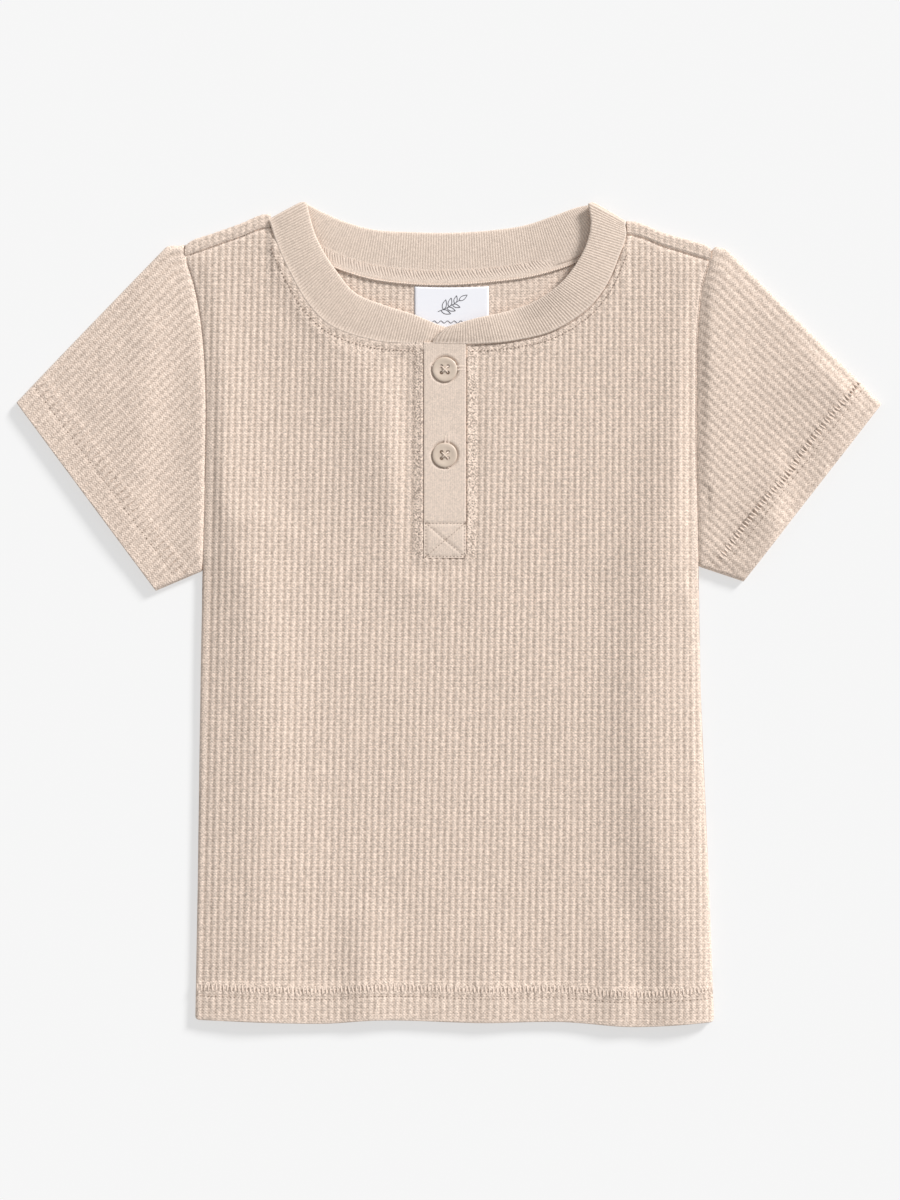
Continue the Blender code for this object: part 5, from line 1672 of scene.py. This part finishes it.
def make_button(name, y):
    """The turned body, cut through with four holes."""
    button = turned_body(name + "_resin", BUTTON_PROFILE, 72, 0.0, 0.0, 0.0)
    holes = bmesh.new()
    for x_side in (-1, 1):
        for y_side in (-1, 1):
            radius = HOLE_RADIUS * MM
            made = bmesh.ops.create_cone(
                holes, cap_ends=True, segments=20, radius1=radius, radius2=radius, depth=20.0 * MM
            )
            at = (x_side * HOLE_OFFSET * MM, y_side * HOLE_OFFSET * MM, 0.0)
            bmesh.ops.translate(holes, vec=at, verts=made["verts"])
    cutter_mesh = bpy.data.meshes.new(name + "_holes")
    holes.to_mesh(cutter_mesh)
    holes.free()
    cutter = bpy.data.objects.new(name + "_holes", cutter_mesh)
    bpy.context.scene.collection.objects.link(cutter)
    cut = button.modifiers.new("holes", "BOOLEAN")
    cut.operation = "DIFFERENCE"
    cut.solver = "EXACT"
    cut.object = cutter
    bpy.context.view_layer.update()
    evaluated = button.evaluated_get(bpy.context.evaluated_depsgraph_get())
    drilled = bpy.data.meshes.new_from_object(evaluated)
    button.modifiers.remove(cut)
    bpy.data.objects.remove(cutter)
    button.data = drilled
    drilled.name = button.name
    drilled.transform(Matrix.Translation((PLACKET_X * MM, y * MM, BUTTON_Z * MM)))
    drilled.set_sharp_from_angle(angle=math.radians(50.0))
    return button


def resin_material():
    """Beige resin, a little clouded, with a soft polish."""
    material, nodes, shader, place = new_material("button_resin")
    mixed = nodes.add("ShaderNodeMix", data_type="RGBA")
    nodes.put(mixed.inputs[0], nodes.noise(place, CLOUD_SCALE, 3.0, 0.6))
    mixed.inputs[6].default_value = (0.56, 0.455, 0.365, 1.0)
    mixed.inputs[7].default_value = (0.72, 0.60, 0.495, 1.0)
    nodes.put(shader.inputs["Base Color"], mixed.outputs[2])
    set_inputs(shader, Roughness=0.32, Coat_Weight=0.25, Coat_Roughness=0.15)
    return material


def crossing_threads(y):
    """Two strands over the middle, each down through its own pair of holes."""
    face = BUTTON_Z + BUTTON_FACE
    way, rise = (np.array(column) for column in zip(*STRAND))
    x = PLACKET_X + way * HOLE_OFFSET
    lower = stack(x, y - way * HOLE_OFFSET, face + rise)
    upper = stack(x, y + way * HOLE_OFFSET, face + rise + 0.1)
    return [upper, lower]


button_resin = resin_material()
for button_name, button_y in BUTTONS.items():
    button = make_button(button_name, button_y)
    button.data.materials.clear()
    button.data.materials.append(button_resin)
    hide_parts(button_name)
    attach(button, "root")
    crossed = lines_mesh(button_name + "_thread", crossing_threads(button_y))
    run_nodes(crossed, threads, Thickness=BUTTON_THREAD * MM, Material=beige_thread)
    # A thread shank in painted shade under each button darkens its holes.
    shank = turned_body(button_name + "_shank", SHANK_PROFILE, 24, PLACKET_X, button_y, BUTTON_Z)
    shank.data.materials.append(sunken_thread)
    for sewn in (crossed, shank):
        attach(sewn, "root")

# ---- stage ---------------------------------------------------------------------------------------
# A pale, faintly glowing light table in soft studio light, brightest from the upper right, seen
# straight from above.

FRAME_MM_PER_PIXEL = 0.45
FRAME_SIZE = (900, 1200)    # of the view, in pixels
GARMENT_CENTRE = (449.0, 613.5)          # the origin's place in it
FLOOR_Z = -0.15             # just clear of the cloth
FLOOR_TONE = 0.36
FLOOR_GLOW = 0.545
WORLD_LIGHT = 0.50
KEY_LIGHT = 3.98
KEY_SPREAD = 14.0           # degrees
KEY_FROM_UPRIGHT = 64.0     # degrees down from overhead
KEY_TURN = 44.0             # degrees round from the wearer's left towards the neck
CAMERA_LENS = 100.0
CLOTH_Z = 3.0               # what the view's scale is measured at

bpy.ops.mesh.primitive_plane_add(size=6.0, location=(0.0, 0.0, FLOOR_Z * MM))
floor = bpy.context.object
floor.name = "floor"
paper = bpy.data.materials.new("floor_paper")
paper.use_nodes = True
set_inputs(
    paper.node_tree.nodes["Principled BSDF"],
    Base_Color=(FLOOR_TONE, FLOOR_TONE, FLOOR_TONE, 1.0),
    Emission_Color=(1.0, 1.0, 1.0, 1.0),
    Emission_Strength=FLOOR_GLOW,
    Roughness=1.0,
    Specular_IOR_Level=0.0,
)
floor.data.materials.append(paper)

world = bpy.data.worlds.new("studio")
bpy.context.scene.world = world
world.use_nodes = True
set_inputs(world.node_tree.nodes["Background"], Color=(1.0, 1.0, 1.0, 1.0), Strength=WORLD_LIGHT)

key = bpy.data.lights.new("key", "SUN")
key.energy = KEY_LIGHT
key.angle = math.radians(KEY_SPREAD)
key_light = bpy.data.objects.new("key", key)
key_light.rotation_euler = (0.0, math.radians(KEY_FROM_UPRIGHT), math.radians(KEY_TURN))
bpy.context.scene.collection.objects.link(key_light)

lens = bpy.data.cameras.new("camera")
lens.lens = CAMERA_LENS
lens.clip_end = 100.0
camera = bpy.data.objects.new("camera", lens)
distance = FRAME_SIZE[1] * FRAME_MM_PER_PIXEL * MM * lens.lens / lens.sensor_width
camera.location = (
    (FRAME_SIZE[0] / 2 - GARMENT_CENTRE[0]) * FRAME_MM_PER_PIXEL * MM,
    (GARMENT_CENTRE[1] - FRAME_SIZE[1] / 2) * FRAME_MM_PER_PIXEL * MM,
    distance + CLOTH_Z * MM,
)
bpy.context.scene.collection.objects.link(camera)
bpy.context.scene.camera = camera
bpy.context.scene.view_settings.view_transform = "Standard"
